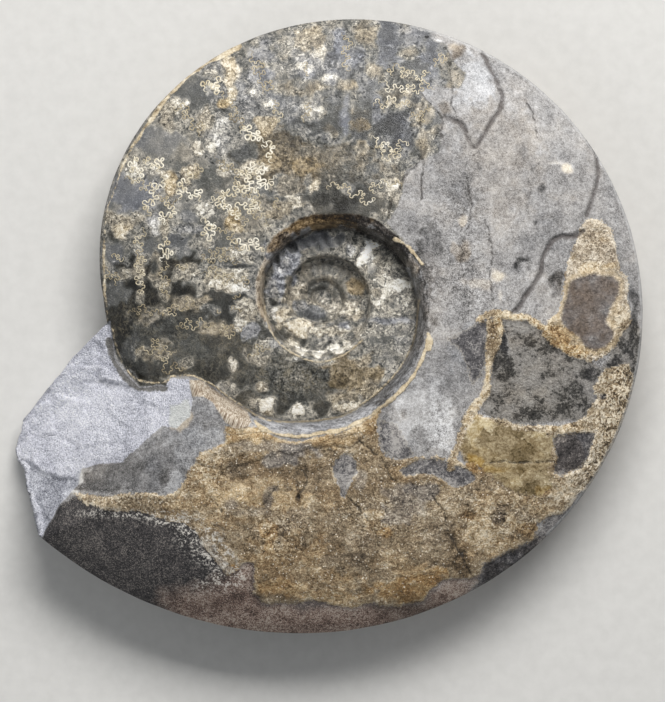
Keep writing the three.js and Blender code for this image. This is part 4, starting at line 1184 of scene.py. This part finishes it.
def grain_shade(size):
    """A shade of its own, from -0.5 to 0.5, for each packed grain about `size` across."""
    cell = bent.add("ShaderNodeTexVoronoi", {}, {"Vector": bent, "Scale": 1 / size}, output="Color")
    return cell.add("ShaderNodeSeparateColor", {}, {0: cell}) - 0.5


cloud = place.grain(16.0, 4.0) - 0.5
patch = place.grain(4.2, 5.0, 0.62) - 0.5
speckle = place.grain(0.75, 4.0, 0.7) - 0.5
dust = place.grain(0.34, 2.0, 0.6) - 0.5
ragged = place.grain(1.1, 4.0, 0.65) - 0.5
milk = bent.grain(5.0, 6.0, 0.68) - 0.5
curd = bent.grain(1.7, 5.0, 0.7) - 0.5
frill = place.grain(1.5, 1.0, 0.5) - 0.5
tone = mark("tone")
warmth = mark("warmth")
mottled = 0.75 + tone.size() * 1.3
tint = (place.grain(6.0, 3.0) - 0.5) * mark("streaked").limit() * 1.5
warm = (warmth + tint + milk * 0.5 + cloud * 0.8).limit()
cold = (milk * 0.4 - warmth - tint - cloud * 0.8).limit()


def graded(level, usual, warmer, colder=None):
    """Stone colour at this level, from dark to light, leaning to a warmer or a colder set of colours."""
    def ramp(colors):
        last = len(colors) - 1
        return level.ramp(*[(index / last, color) for index, color in enumerate(colors)])
    made = warm.between(ramp(usual), ramp(warmer))
    return cold.between(made, ramp(colder)) if colder else made


# Grey mud rock, and the coarse grey rock: a felt of fine grains with soft clouds.
mud_level = 0.51 + tone * 0.85 + cloud * 0.5 + patch * 0.45 + curd * 0.5 + ragged * 0.3 + speckle * 0.5
mud_level = mud_level + dust * 0.7
mud_level = mud_level + mark("crystals") * (speckle * 1.0 + dust * 0.8 + ragged * 0.6)
mud = graded(mud_level, [(30, 30, 30), (76, 75, 74), (128, 126, 125), (172, 170, 169), (206, 205, 205),
                         (232, 232, 232)],
             [(44, 36, 28), (90, 76, 60), (140, 124, 104), (180, 164, 140), (212, 198, 172), (238, 230, 208)],
             [(34, 37, 42), (76, 79, 86), (126, 130, 138), (168, 173, 180), (203, 207, 213), (230, 233, 238)])
flecks = (ragged * 1.6 + curd * 1.2 + patch * 1.4 + tone * 1.2 + 0.16).edge(0.16)
coarse_level = 0.34 + flecks * 0.26 + tone * 0.5 + patch * 0.5 + curd * 0.5 + speckle * 0.8 + dust * 0.7
coarse = graded(coarse_level, [(26, 26, 25), (64, 62, 59), (108, 105, 100), (140, 136, 131), (170, 166, 160),
                               (205, 202, 196)],
                [(34, 28, 20), (78, 66, 50), (120, 106, 86), (160, 144, 120), (190, 174, 148),
                 (222, 210, 186)],
                [(30, 31, 36), (60, 62, 70), (98, 100, 110), (130, 132, 142), (166, 168, 176),
                 (200, 202, 208)])

# Charcoal mud rock, lower left; purple-brown rock along the lower rim; slate-blue rock under the lost shell.
char_level = 0.53 + tone * 0.8 + cloud * 0.7 + patch * 1.0 + curd * 0.6 + speckle * 2.2 + dust * 2.8
charcoal = char_level.ramp((0.0, (34, 33, 34)), (0.5, (64, 62, 63)), (0.8, (92, 88, 87)),
                           (1.0, (134, 128, 122)))
rim_brown = (char_level + patch * 0.6).ramp((0.0, (66, 56, 52)), (0.45, (132, 109, 98)),
                                            (0.75, (166, 147, 134)), (1.0, (196, 183, 171)))
slate_level = 0.52 + tone * 0.8 + cloud * 0.6 + patch * 1.5 + curd * 0.5 + ragged * 1.0 + speckle * 1.4
slate_level = slate_level + dust * 1.3
slate = slate_level.ramp((0.0, (36, 35, 37)), (0.5, (93, 91, 93)), (1.0, (176, 172, 168)))
worn_slate = slate_level.ramp((0.0, (38, 34, 31)), (0.5, (96, 88, 82)), (1.0, (180, 168, 156)))
slate = warm.between(slate, worn_slate)
slate_inside = mark("slate") + ragged * 4.0 + curd * 3.6

# The fresh break: pale blue-grey, sparkling grain, a little darker at its foot as painted shade, where the
# lower facet faces away from the light.
rock_level = 0.6 + tone * 0.85 + cloud * 0.5 + patch * 0.6 + speckle * 1.4 + dust * 1.8
rock = rock_level.ramp((0.0, (104, 106, 116)), (0.3, (164, 166, 177)), (0.6, (214, 215, 226)),
                       (0.85, (236, 237, 245)), (1.0, (250, 250, 252)))
# Painted shade: the foot of the break a little darker.
shaded_foot_level = rock_level + speckle * 0.6 + patch * 0.5 + 0.03
shaded_foot_rock = shaded_foot_level.ramp((0.0, (104, 106, 115)), (0.5, (182, 184, 194)), (1.0, (236, 237, 243)))
rock = (mark("foot") + ragged * 1.4).edge(1.2).between(rock, shaded_foot_rock)
rock = (warmth * 0.8).limit().between(rock, paint(208, 211, 200))

# Brown crystalline shell: packed crystals from dark brown to pale tan, with a painted highlight along its
# edges and painted glints.
crystal = grain_shade(0.62)
chunk = grain_shade(1.7)
shell_inside = mark("shell") + ragged * 2.6 + curd * 2.2
# Painted highlight: the crust lighter along its raised edges.
rim_light = (1 - (shell_inside - 0.35).size() * 1.5).limit() * (patch * 3.5 + 0.6).limit()
streak_place = place.add("ShaderNodeMapping", {}, {0: place, "Scale": (0.3, 1.0, 1.0)})
streak = streak_place.grain(1.6, 4.0, 0.65) - 0.5
zone = bent.grain(9.0, 3.0) - 0.5
brown_level = 0.52 + tone * 0.6 + zone * 0.7 + patch * 0.6 + crystal * 0.2 + speckle * 0.9 + dust * 1.1
brown_level = brown_level + streak * 0.4 + rim_light * 0.25
sparkle = mark("crystals") * (crystal * 0.5 + chunk * 0.3 + speckle * 0.9 + curd * 0.9 + 0.04)
brown_level = brown_level + sparkle


def crystal_faces(size, slope):
    """Height of packed crystals about `size` across, each with one flat face that leans its own way."""
    cell = bent.add("ShaderNodeTexVoronoi", {}, {"Vector": bent, "Scale": 1 / size}, output="Position")
    lean = Signal(cell.tree, cell.socket.node.outputs["Color"])
    lean = lean.add("ShaderNodeVectorMath", {"operation": "SUBTRACT"}, {0: lean, 1: (0.5, 0.5, 0.5)})
    away = cell.add("ShaderNodeVectorMath", {"operation": "SUBTRACT"}, {0: bent, 1: cell})
    tilt = cell.add("ShaderNodeVectorMath", {"operation": "DOT_PRODUCT"}, {0: away, 1: lean}, output="Value")
    return tilt * slope


# Painted glints: small bright specks on the crust, where its crystals would catch the light.
painted_glint = (0.24 - place.cells(0.9)).edge(0.1) * (place.grain(2.6, 2.0) - 0.5).edge(0.12)
painted_glint = painted_glint * (crystal + 0.1).edge(0.2)
brown = graded(brown_level, [(40, 33, 26), (86, 73, 56), (126, 109, 86), (166, 147, 119), (206, 189, 161),
                             (240, 228, 206)],
               [(56, 38, 20), (108, 82, 50), (150, 117, 76), (186, 154, 108), (220, 194, 150),
                (244, 228, 196)],
               [(46, 44, 45), (84, 81, 81), (118, 113, 110), (152, 146, 139), (194, 187, 178),
                (232, 226, 218)])
round_level = 0.43 + tone * 0.3 + patch * 1.1 + zone * 0.6 + speckle * 0.9 + dust * 0.7
round_brown = round_level.ramp((0.0, (72, 65, 58)), (0.5, (126, 112, 101)), (1.0, (176, 160, 144)))
round_grey = round_level.ramp((0.0, (70, 68, 70)), (0.5, (118, 115, 115)), (1.0, (168, 164, 160)))
round_brown = (0.5 + zone * 3.0 + patch * 1.5).limit().between(round_brown, round_grey)
round_inside = mark("round") + ragged * 1.2
brown_rim = (1 - (round_inside + 1.1).size() * 0.9).limit()
brown = (brown_rim * 0.5).between(brown, paint(214, 192, 156))
brown = round_inside.edge(0.8).between(brown, round_brown)
block = grain_shade(6.0)
amber_level = 0.52 + tone * 0.6 + patch * 0.8 + streak * 0.6 + speckle * 0.8 + dust * 0.5 + block * 0.45
amber_level = amber_level + crystal * 0.3
amber = graded(amber_level, [(72, 60, 40), (112, 97, 68), (144, 127, 97), (178, 162, 130), (216, 204, 176)],
               [(90, 66, 26), (138, 108, 52), (168, 138, 80), (196, 170, 116), (226, 208, 164)])
amber_mask = (mark("amber") - 0.6 + ragged * 4.0 + curd * 4.0).edge(0.6)
brown = amber_mask.between(brown, amber)
brown = (painted_glint * (1 - amber_mask) * (0 - round_inside).edge(0.8)).between(brown, paint(248, 238, 220))

# The chambered part: smooth dark glassy chambers, and milky calcite with frilled edges between them.
around = mark("around").add("ShaderNodeCombineXYZ", {}, {0: mark("around"), 1: mark("outward") * 0.16})
streaky = (around.grain(2.6, 5.0, 0.62) - 0.5) * mark("streaked")
leaves = bent.cells(1.75) - 0.38
gaps = leaves.math("MINIMUM", leaves, 0.12)
glass_field = gaps * 1.5 + frill * 0.5 + curd * 0.3 + milk * 0.5 - tone * 3.2 - 0.3 - mark("streaked") * 0.55
glass_field = glass_field + mark("smooth") * 0.9
petal_field = tone * 2.4 - leaves * 1.5 + frill * 0.3 + curd * 0.5 + patch * 0.5 - 0.72
petals = petal_field.edge(0.2)
# Painted shadow: a thin dark line just outside the border of each pale petal of calcite.
petal_edge_shadow = (1 - (petal_field + 0.18).size() * 6).limit()
glass_mask = glass_field.edge(0.25)
marble = (curd * 3.4 + ragged * 0.8 + 0.5).limit() - 0.5
flake = grain_shade(0.95)
wisps = (1 - (bent.grain(1.8, 2.0) - 0.5 + speckle * 0.3).size() * 20).limit() * (0.5 + patch * 2.5).limit()
pits = (1 - (place.grain(2.3, 2.0) - 0.5 + curd * 0.3).size() * 26).limit() * (patch * 4 + 0.3).limit()
glass_level = 0.41 + tone * 0.6 + cloud * 0.4 + patch * 0.3 + dust * 0.4 + streaky * 0.3
glass_level = glass_level + wisps * (milk * 2 + 0.5).limit() * 0.3
glass_level = glass_level + mark("crystals") * (speckle * 0.9 + curd * 0.8 + ragged * 0.6)
calcite_level = 0.345 + tone * 0.55 + marble * 0.2 * mottled + milk * 0.4 + patch * 0.25 + streaky * 0.9
calm = 1 - mark("streaked").limit() * 0.45
thread_field = bent.grain(1.25, 1.5) - 0.5
# Pale threads in the calcite, each with a thin line of painted shadow beside it.
threads = (1 - thread_field.size() * 20).limit() - (1 - (thread_field - 0.06).size() * 20).limit() * 0.6
threads = threads * (patch * 3 + 0.6).limit()
calcite_level = calcite_level + petals * 0.14 - petal_edge_shadow * 0.14 * calm
calcite_level = calcite_level + (ragged * 0.35 + speckle * 0.6 + dust * 0.5 + flake * 0.3) * calm
calcite_level = calcite_level + wisps * 0.2 - pits * 0.05 + threads * 0.3
lace = (1 - glass_field.size() * 3.6).limit() * (patch * 3.0 + 0.6).limit()
chamber_level = calcite_level + (glass_level - calcite_level) * glass_mask
# The ribs' colour is painted light and shade: lighter along their crests and darker between them.
chamber_level = chamber_level + (0.72 + patch * 0.6 - chamber_level) * lace * 0.6 + mark("rib") * 0.36
chambers = graded(chamber_level,
                  [(30, 30, 28), (66, 66, 63), (104, 104, 100), (146, 142, 134), (190, 184, 171),
                   (228, 223, 210), (248, 246, 240)],
                  [(34, 26, 16), (76, 64, 44), (118, 102, 74), (158, 139, 106), (200, 180, 144),
                   (232, 216, 184), (250, 240, 220)],
                  [(34, 35, 41), (70, 72, 80), (108, 111, 121), (144, 148, 159), (184, 188, 199),
                   (220, 223, 232), (244, 245, 250)])
flame_place = place.add("ShaderNodeMapping", {}, {0: bent, "Scale": (1.0, 0.42, 1.0)})
flames = (1 - (flame_place.grain(1.5, 3.0, 0.6) - 0.5 + speckle * 0.3).size() * 15).limit()
flames = flames * (milk * 3.5 + 0.4).limit()
flame_color = (warm * 2.5).limit().between(paint(160, 155, 140), paint(158, 141, 104))
chambers = (flames * mark("flamed") * 0.55).limit().between(chambers, flame_color)

# The umbilical wall, the fibrous band of shell, the cream edges of shell layers.
along = mark("around").add("ShaderNodeCombineXYZ", {}, {0: mark("around") * 0.16, 1: mark("outward") * 1.3})
wall_level = 0.53 + tone * 0.75 + patch * 1.0 + curd * 0.9 + speckle * 1.3 + dust * 0.9
wall_level = wall_level + (along.grain(1.2, 4.0) - 0.5) * 1.2
wall_color = graded(wall_level, [(20, 19, 18), (62, 61, 61), (110, 110, 111), (152, 152, 154),
                                 (196, 196, 198)],
                    [(24, 17, 10), (70, 54, 34), (116, 96, 66), (162, 139, 104), (212, 192, 158)],
                    [(30, 31, 36), (66, 68, 76), (112, 115, 124), (152, 155, 164), (196, 198, 206)])
fiber_settings = {"Rotation": (0, 0, math.radians(68)), "Scale": (6.0, 0.4, 1.0)}
fiber_place = place.add("ShaderNodeMapping", {"vector_type": "TEXTURE"}, {0: place, **fiber_settings})
fiber = fiber_place.grain(1.0, 4.0, 0.65) - 0.5
fibrous_level = 0.5 + fiber * 2.6 + patch * 0.8 + speckle * 0.6
fibrous = fibrous_level.ramp((0.0, (92, 76, 60)), (0.3, (142, 125, 107)), (0.6, (190, 177, 159)),
                             (1.0, (236, 230, 218)))
cream_level = 0.5 + patch * 1.2 + speckle * 1.4 + (mark("keel_shell").edge(0.5)) * (streak * 2.4 + 0.04)
cream = cream_level.ramp((0.0, (110, 94, 72)), (0.45, (198, 181, 150)), (1.0, (244, 235, 214)))
frost_mask = (mark("frost") * 1.6 - 0.15).limit() * (curd * 2.2 + speckle * 2.6 + patch - 0.2).edge(0.25)
frost_mask = frost_mask * 0.85

# Laid over one another.
chamber_mask = (mark("chambered") + ragged * 1.6 + curd * 0.8).edge(0.5)
broken_mask = (mark("broken") + ragged * 1.0).edge(0.4)
shell_mask = shell_inside.edge(0.4)
wall_mask = (mark("wall") + ragged * 0.7).edge(0.4)
coarse_mask = (mark("coarse") + ragged * 3.0 + curd * 2.0).edge(1.0)
color = coarse_mask.between(mud, coarse)
color = (mark("charcoal") + ragged * 1.8 + curd).edge(0.8).between(color, charcoal)
color = (mark("rim_brown") + 1 + ragged * 3.0 + curd * 2.0 + patch * 6).edge(7.0).between(color, rim_brown)
color = slate_inside.edge(0.6).between(color, slate)
slate_edge = (1 - (slate_inside + 0.1).size() * 2.4).limit()
color = (slate_edge * 0.2).between(color, paint(206, 192, 164))
shell_shadow = (1 - (shell_inside + 0.5).size() * 1.8).limit() * (1 - mark("frost")).limit()
color = color.shaded(1 - shell_shadow * 0.2)
color = shell_mask.between(color, brown)
# Painted shadow: a dark line just outside the edge of the upper shell layer, below its step.
layer_step_shadow = (1 - (mark("layer") + 0.35 + ragged).size() * 2.2).limit()
color = (layer_step_shadow * shell_mask * 0.5).between(color, paint(58, 48, 38))
color = frost_mask.between(color, paint(234, 229, 220))
color = chamber_mask.between(color, chambers)
color = wall_mask.between(color, wall_color)
color = broken_mask.between(color, rock)
# Painted shadow: a grey band on the break, beside the cream line of the older keel.
ledge_shadow_color = (0.5 + patch * 1.2 + speckle + dust * 0.8).ramp((0.0, (54, 53, 52)), (1.0, (158, 156, 154)))
color = ((mark("ledge") + ragged * 1.6).edge(0.5) * broken_mask).between(color, ledge_shadow_color)
color = (mark("fibrous") + ragged * 0.8).edge(0.4).between(color, fibrous)
cream_mask = (mark("cream") + ragged * 0.8 + speckle * 0.4).edge(0.3)
color = cream_mask.between(color, cream)
# Painted shade: the grooves darker, most of all along their middle, where shade falls in them.
groove_mask = (mark("groove") + ragged * 1.2).edge(0.7)
groove_core = (mark("groove") - 0.4 + ragged * 1.4).edge(0.6)
color = (groove_mask * 0.55).between(color, paint(100, 94, 92))
color = (groove_core * 0.6).between(color, paint(62, 56, 54))
crack_mask = (mark("crack") + ragged * 0.9).edge(0.35)
color = (crack_mask * 0.75).between(color, paint(54, 50, 46))
# Painted shadow: dark along the seams where the whorls meet, where shade falls.
crease = (mark("crease") + 0.5 + ragged * 0.8).edge(0.8)
color = (crease * 0.6).between(color, paint(34, 31, 28))
# Painted highlight along the keel on the right.
color = ((mark("rubbed") + ragged).edge(0.6) * 0.55).between(color, paint(196, 196, 196))
# Painted light and shade: wide areas made lighter or darker where the light falls more or less.
color = color.shaded(1 + mark("shade"))

polished = chamber_mask * (1 - broken_mask)
gloss = 0.66 + patch * 0.3
gloss = gloss + (0.55 - amber_mask * 0.25 + speckle * 0.6 - painted_glint * 0.35 - gloss) * shell_mask
gloss = gloss + (0.36 + curd * 0.5 - glass_mask * 0.1 - gloss) * polished
gloss = gloss + (0.8 - gloss) * broken_mask

height = speckle * 0.16 + dust * 0.12 + patch * 0.12
crust_height = crystal_faces(0.75, 0.5) + crystal_faces(1.7, 0.5)
crust_height = crust_height + speckle * 0.3 + curd * 0.4 + rim_light * 0.12
height = height + shell_mask * (1 - amber_mask * 0.8) * crust_height
height = height + broken_mask * (speckle * 0.5 + dust * 0.3 + patch * 0.3)
height = height + coarse_mask * (speckle * 0.6 + patch * 0.6)
height = height + polished * ((1 - glass_mask) * (curd * 0.5 + ragged * 0.2) - pits * 0.08 - speckle * 0.06)
height = height - groove_mask * 0.25 - groove_core * 0.2 - crack_mask * 0.25 + cream_mask * 0.2
finish_material(start, color, gloss.limit(), height, coat=polished * 0.07,
                sockets={"Coat Roughness": 0.2, "Specular IOR Level": 0.28})

fossil = add_mesh("ammonite_stone", points, faces, stone)
edge_marks = marks_at(edge_x, edge_y)
for name in upper_marks:
    values = np.concatenate([edge_marks[name], upper_marks[name], under_marks[name]])
    attribute = fossil.data.attributes.new(name, "FLOAT", "POINT")
    attribute.data.foreach_set("value", values.astype(np.float32))
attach(fossil, "root")
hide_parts("ammonite")


# ---------------------------------------------------------------------------------------------------
# The suture lines. Each is the frilled edge of a chamber wall, in pale calcite, bared when the flank was
# ground. It grew fast in the stone, and is made here as a thin ridge that stands 0.1 mm proud of it.

BOLD_LINES = [
    [(-39, 69), (-37, 72.5), (-33.5, 73.5)],
    [(-36.5, 66), (-34, 68.5), (-31, 67.5)],
    [(-60.5, 45), (-59.5, 38.5)],
    [(-56.5, 43), (-53, 44), (-51, 41)],
    [(-51.5, 38), (-54, 32), (-57, 26)],
    [(-44.5, 31.5), (-41, 33.5), (-37.5, 32)],
    [(-35, 29.5), (-31, 31), (-26.5, 35.5), (-20.5, 36.5), (-14.5, 37.5)],
    [(-49.5, 24), (-46.5, 31)],
    [(-30, 26.5), (-25, 28.5), (-19, 29.5)],
    [(-38, 24), (-34.5, 20), (-31.5, 23)],
    [(-28, 16.5), (-18, 17.5)],
    [(-50.5, 18.5), (-50, 11)],
    [(-25, 52), (-17, 51)],
    [(-18.5, 47.5), (-14, 43.5)],
    [(-43.5, 40), (-42.5, 35)],
    [(-19.5, 42.5), (-27.5, 38.5)],
]
FAINT_LINES = [
    [(-50, 11.5), (-51, 8.5), (-50, 4), (-50.5, 0.5)],
    [(-57.5, 22), (-58.5, 18), (-57.5, 14), (-58, 9.5), (-57, 5), (-58, 0.5)],
    [(-58.5, -17.5), (-55.5, -16.5), (-52.5, -14.5), (-50, -17.5), (-47, -15.5)],
    [(-61.5, -5), (-56.5, -2.5), (-53, -5.5), (-50.5, -3), (-48, -6), (-44.5, -2.5), (-41.5, -2),
     (-38.5, -1.5)],
    [(-69.5, 9), (-66.5, 7), (-64.5, 4)],
    [(-51.5, -20), (-48.5, -23.5), (-43.5, -21)],
    [(23.5, 74), (26, 72), (29, 71), (32, 71), (35, 70)],
    [(18.5, 68), (22.5, 66), (27, 67), (31.5, 67), (35.5, 68)],
    [(17, 61), (20.5, 62), (24, 62.5), (26, 61), (29.5, 62)],
    [(16, 50.5), (18.5, 48.5), (24, 48.5), (27.5, 50.5)],
    [(17, 46.5), (22, 45), (26, 46.5)],
    [(2.5, 34.5), (5.5, 36), (8, 34.5), (10.5, 33.5), (14, 31.5), (17, 29)],
    [(18.5, 35.5), (22, 36.5), (24.5, 34.5)],
    [(-37.5, 11.5), (-34, 14), (-30.5, 14.5), (-27.5, 13)],
    [(-45.5, -10), (-42.5, -7.5), (-39.5, -10), (-37, -7.5), (-34.5, -10)],
]
LOBE_LENGTH = 4.2
FRILL_LENGTH = 1.9
FRILL_SHARE = 0.4
BOLD_SWING = 1.6
FAINT_SWING = 1.1
BOLD_WIDTH = 0.66
FAINT_WIDTH = 0.48
FAINTEST_WIDTH = 0.4
ROW_WIDTH = 0.42
BOLD_SHADE = 1.0
FAINT_SHADE = 0.6
FAINTEST_SHADE = 0.1
ROW_SHADE = 0.2
# Faint lines that start above this level, in millimetres from the coil's axis, are the clearer ones.
CLEARER_ABOVE = 20
FAINT_SEED = 40
ROW_SEED = 80
LINE_STEP = 0.2
LINE_PROUD = 0.1
LINE_SUNK = 0.16
LINE_TOP_SHARE = 0.45
LEAST_POINTS = 4

# One loop's outline: how far along it, and how far out.
LOOP_SHAPE = ((-0.04, 0.5), (0.15, 1.0), (0.5, 1.15), (0.85, 1.0), (1.04, 0.5))


def run_along(line, step):
    """Points every `step` mm along a smoothed line, with the direction at each."""
    corners = rounded(line)
    lengths = np.concatenate([[0], np.cumsum(np.hypot(*np.diff(corners, axis=0).T))])
    at = np.arange(0, lengths[-1], step)
    x, y = np.interp(at, lengths, corners[:, 0]), np.interp(at, lengths, corners[:, 1])
    way = np.stack([np.gradient(x), np.gradient(y)], axis=1)
    way /= np.maximum(np.hypot(*way.T), 1e-9)[:, None]
    return at, np.stack([x, y], axis=1), way


def looped(line, length, swing, draw):
    """The line thrown into uneven round-headed loops, to one side and then to the other."""
    at, middle, way = run_along(line, LINE_STEP / 2)
    along, out, start, side = [0.0], [0.0], 0.0, 1
    while start < at[-1] - 0.3 * length:
        long = length * (0.3 + 0.4 * draw.random())
        high = side * swing * (0.45 + 1.1 * draw.random())
        for share, height in LOOP_SHAPE:
            along.append(start + share * long)
            out.append(height * high)
        start, side = start + long, -side
    x, y, way_x, way_y = [np.interp(along, at, values) for values in (*middle.T, *way.T)]
    return np.stack([x - way_y * out, y + way_x * out], axis=1)


def frilled(line, swing, seed):
    """The edge of a chamber wall: lobes, with small frills along them."""
    draw = np.random.default_rng(seed)
    path = rounded(looped(looped(line, LOBE_LENGTH, swing, draw), FRILL_LENGTH, swing * FRILL_SHARE, draw))
    lengths = np.concatenate([[0], np.cumsum(np.hypot(*np.diff(path, axis=0).T))])
    spaced = np.arange(0, lengths[-1], LINE_STEP)
    return np.stack([np.interp(spaced, lengths, path[:, 0]), np.interp(spaced, lengths, path[:, 1])], axis=1)


stone_tree = BVHTree.FromPolygons([Vector(point) for point in points], faces)


def level_under(x, y):
    """The stone's finished level in metres, found from above."""
    hit = stone_tree.ray_cast(Vector((axis_x + MM * x, axis_y + MM * y, 0.1)), Vector((0, 0, -1)))
    return hit[0].z if hit[0] is not None else None


line_points, line_faces, line_shades = [], [], []


def add_ribbon(path, width, shade):
    """A thin closed ridge along the path, sunk deeper in the stone than it stands out."""
    levels = [level_under(x, y) for x, y in path]
    if len(path) < LEAST_POINTS or None in levels:
        return
    way = np.gradient(path, axis=0)
    way /= np.maximum(np.hypot(*way.T), 1e-9)[:, None]
    share = np.linspace(0, 1, len(path))
    taper = np.minimum(1, 8 * np.minimum(share, 1 - share) + 0.25)
    half = 0.5 * width * taper * (1 + 0.25 * humps(path[:, 0], path[:, 1], 1.7, 103))
    base = len(line_points)
    for (x, y), (way_x, way_y), level, reach in zip(path, way, levels, half):
        x0, y0 = axis_x + MM * x, axis_y + MM * y
        dx, dy = -MM * reach * way_y, MM * reach * way_x
        bottom, top = level - MM * LINE_SUNK, level + MM * LINE_PROUD
        line_points.append((x0 + dx, y0 + dy, bottom))
        line_points.append((x0 - dx, y0 - dy, bottom))
        line_points.append((x0 - dx * LINE_TOP_SHARE, y0 - dy * LINE_TOP_SHARE, top))
        line_points.append((x0 + dx * LINE_TOP_SHARE, y0 + dy * LINE_TOP_SHARE, top))
        line_shades.extend([shade] * 4)
    for step in range(len(path) - 1):
        near, far = base + 4 * step, base + 4 * step + 4
        for side in range(4):
            after = (side + 1) % 4
            line_faces.append((near + side, near + after, far + after, far + side))
    last = base + 4 * (len(path) - 1)
    line_faces.append((base + 3, base + 2, base + 1, base))
    line_faces.append((last, last + 1, last + 2, last + 3))


for seed, line in enumerate(BOLD_LINES):
    add_ribbon(frilled(line, BOLD_SWING, seed), BOLD_WIDTH, BOLD_SHADE)
for seed, line in enumerate(FAINT_LINES):
    clearer = line[0][1] > CLEARER_ABOVE
    width, shade = (FAINT_WIDTH, FAINT_SHADE) if clearer else (FAINTEST_WIDTH, FAINTEST_SHADE)
    add_ribbon(frilled(line, FAINT_SWING, seed + FAINT_SEED), width, shade)

# Further rows, one behind the other along the coil. Each runs from the umbilicus to the keel with the same
# lobes, given as (share of the way out, depth in millimetres), and shows in patches, off the dark calcite.
ROWS_PER_TURN = 34
ROW_MARGIN = 3
ROW_POINTS = 90
LEAST_RUN = 5
LOBE_SPREAD = 0.055
LOBES = [(0.1, 2.0), (0.26, 3.2), (0.44, 4.2), (0.62, 4.4), (0.78, 3.6), (0.92, 2.0)]
FIRST_ROW = -0.12
LAST_ROW = 0.36
for row in range(int((LAST_ROW - FIRST_ROW) * ROWS_PER_TURN)):
    turn = FIRST_ROW + row / ROWS_PER_TURN
    inner = float(crest_radius(np.array(max(turn, 0.0)))) + ROW_MARGIN
    outer = float(keel_radius(np.array(turn))) - ROW_MARGIN
    share = np.linspace(0, 1, ROW_POINTS)
    lobes = sum(deep * np.exp(-((share - at) / LOBE_SPREAD) ** 2) for at, deep in LOBES)
    radius = inner + (outer - inner) * share
    angle = FULL_TURN * turn + lobes / radius
    x, y = -radius * np.cos(angle), radius * np.sin(angle)
    shows = (clouds(x, y, 9.0, 111) > -0.05) & (within(CHAMBERED, x, y) > 1.5)
    shows = shows & (marks_at(x, y)["tone"] > -0.2)
    starts = np.flatnonzero(np.diff(np.concatenate([[0], shows.astype(int), [0]])))
    for first, last in zip(starts[::2], starts[1::2]):
        if last - first > LEAST_RUN:
            line = list(zip(x[first:last], y[first:last]))
            add_ribbon(frilled(line, FAINT_SWING, row + ROW_SEED), ROW_WIDTH, ROW_SHADE)

line_material, start = new_material("suture_calcite")
place = place_in_mm(start)
tone = 0.3 + (place.grain(2.2, 4.0, 0.65) - 0.5) * 1.6 + (place.grain(8.0, 2.0) - 0.5) * 1.2
bold = start.add("ShaderNodeAttribute", {"attribute_name": "bold"}, {}, output="Fac")
tone = tone + bold * 0.52
color = tone.ramp((0.0, (112, 100, 78)), (0.4, (176, 162, 132)), (0.75, (214, 204, 180)),
                  (1.0, (236, 230, 214)))
height = place.grain(0.4, 2.0) * 0.05
finish_material(start, color, 0.42, height, coat=0.2, sockets={"Coat Roughness": 0.25})
lines = add_mesh("suture_lines", line_points, line_faces, line_material)
attribute = lines.data.attributes.new("bold", "FLOAT", "POINT")
attribute.data.foreach_set("value", np.array(line_shades, np.float32))
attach(lines, "root")
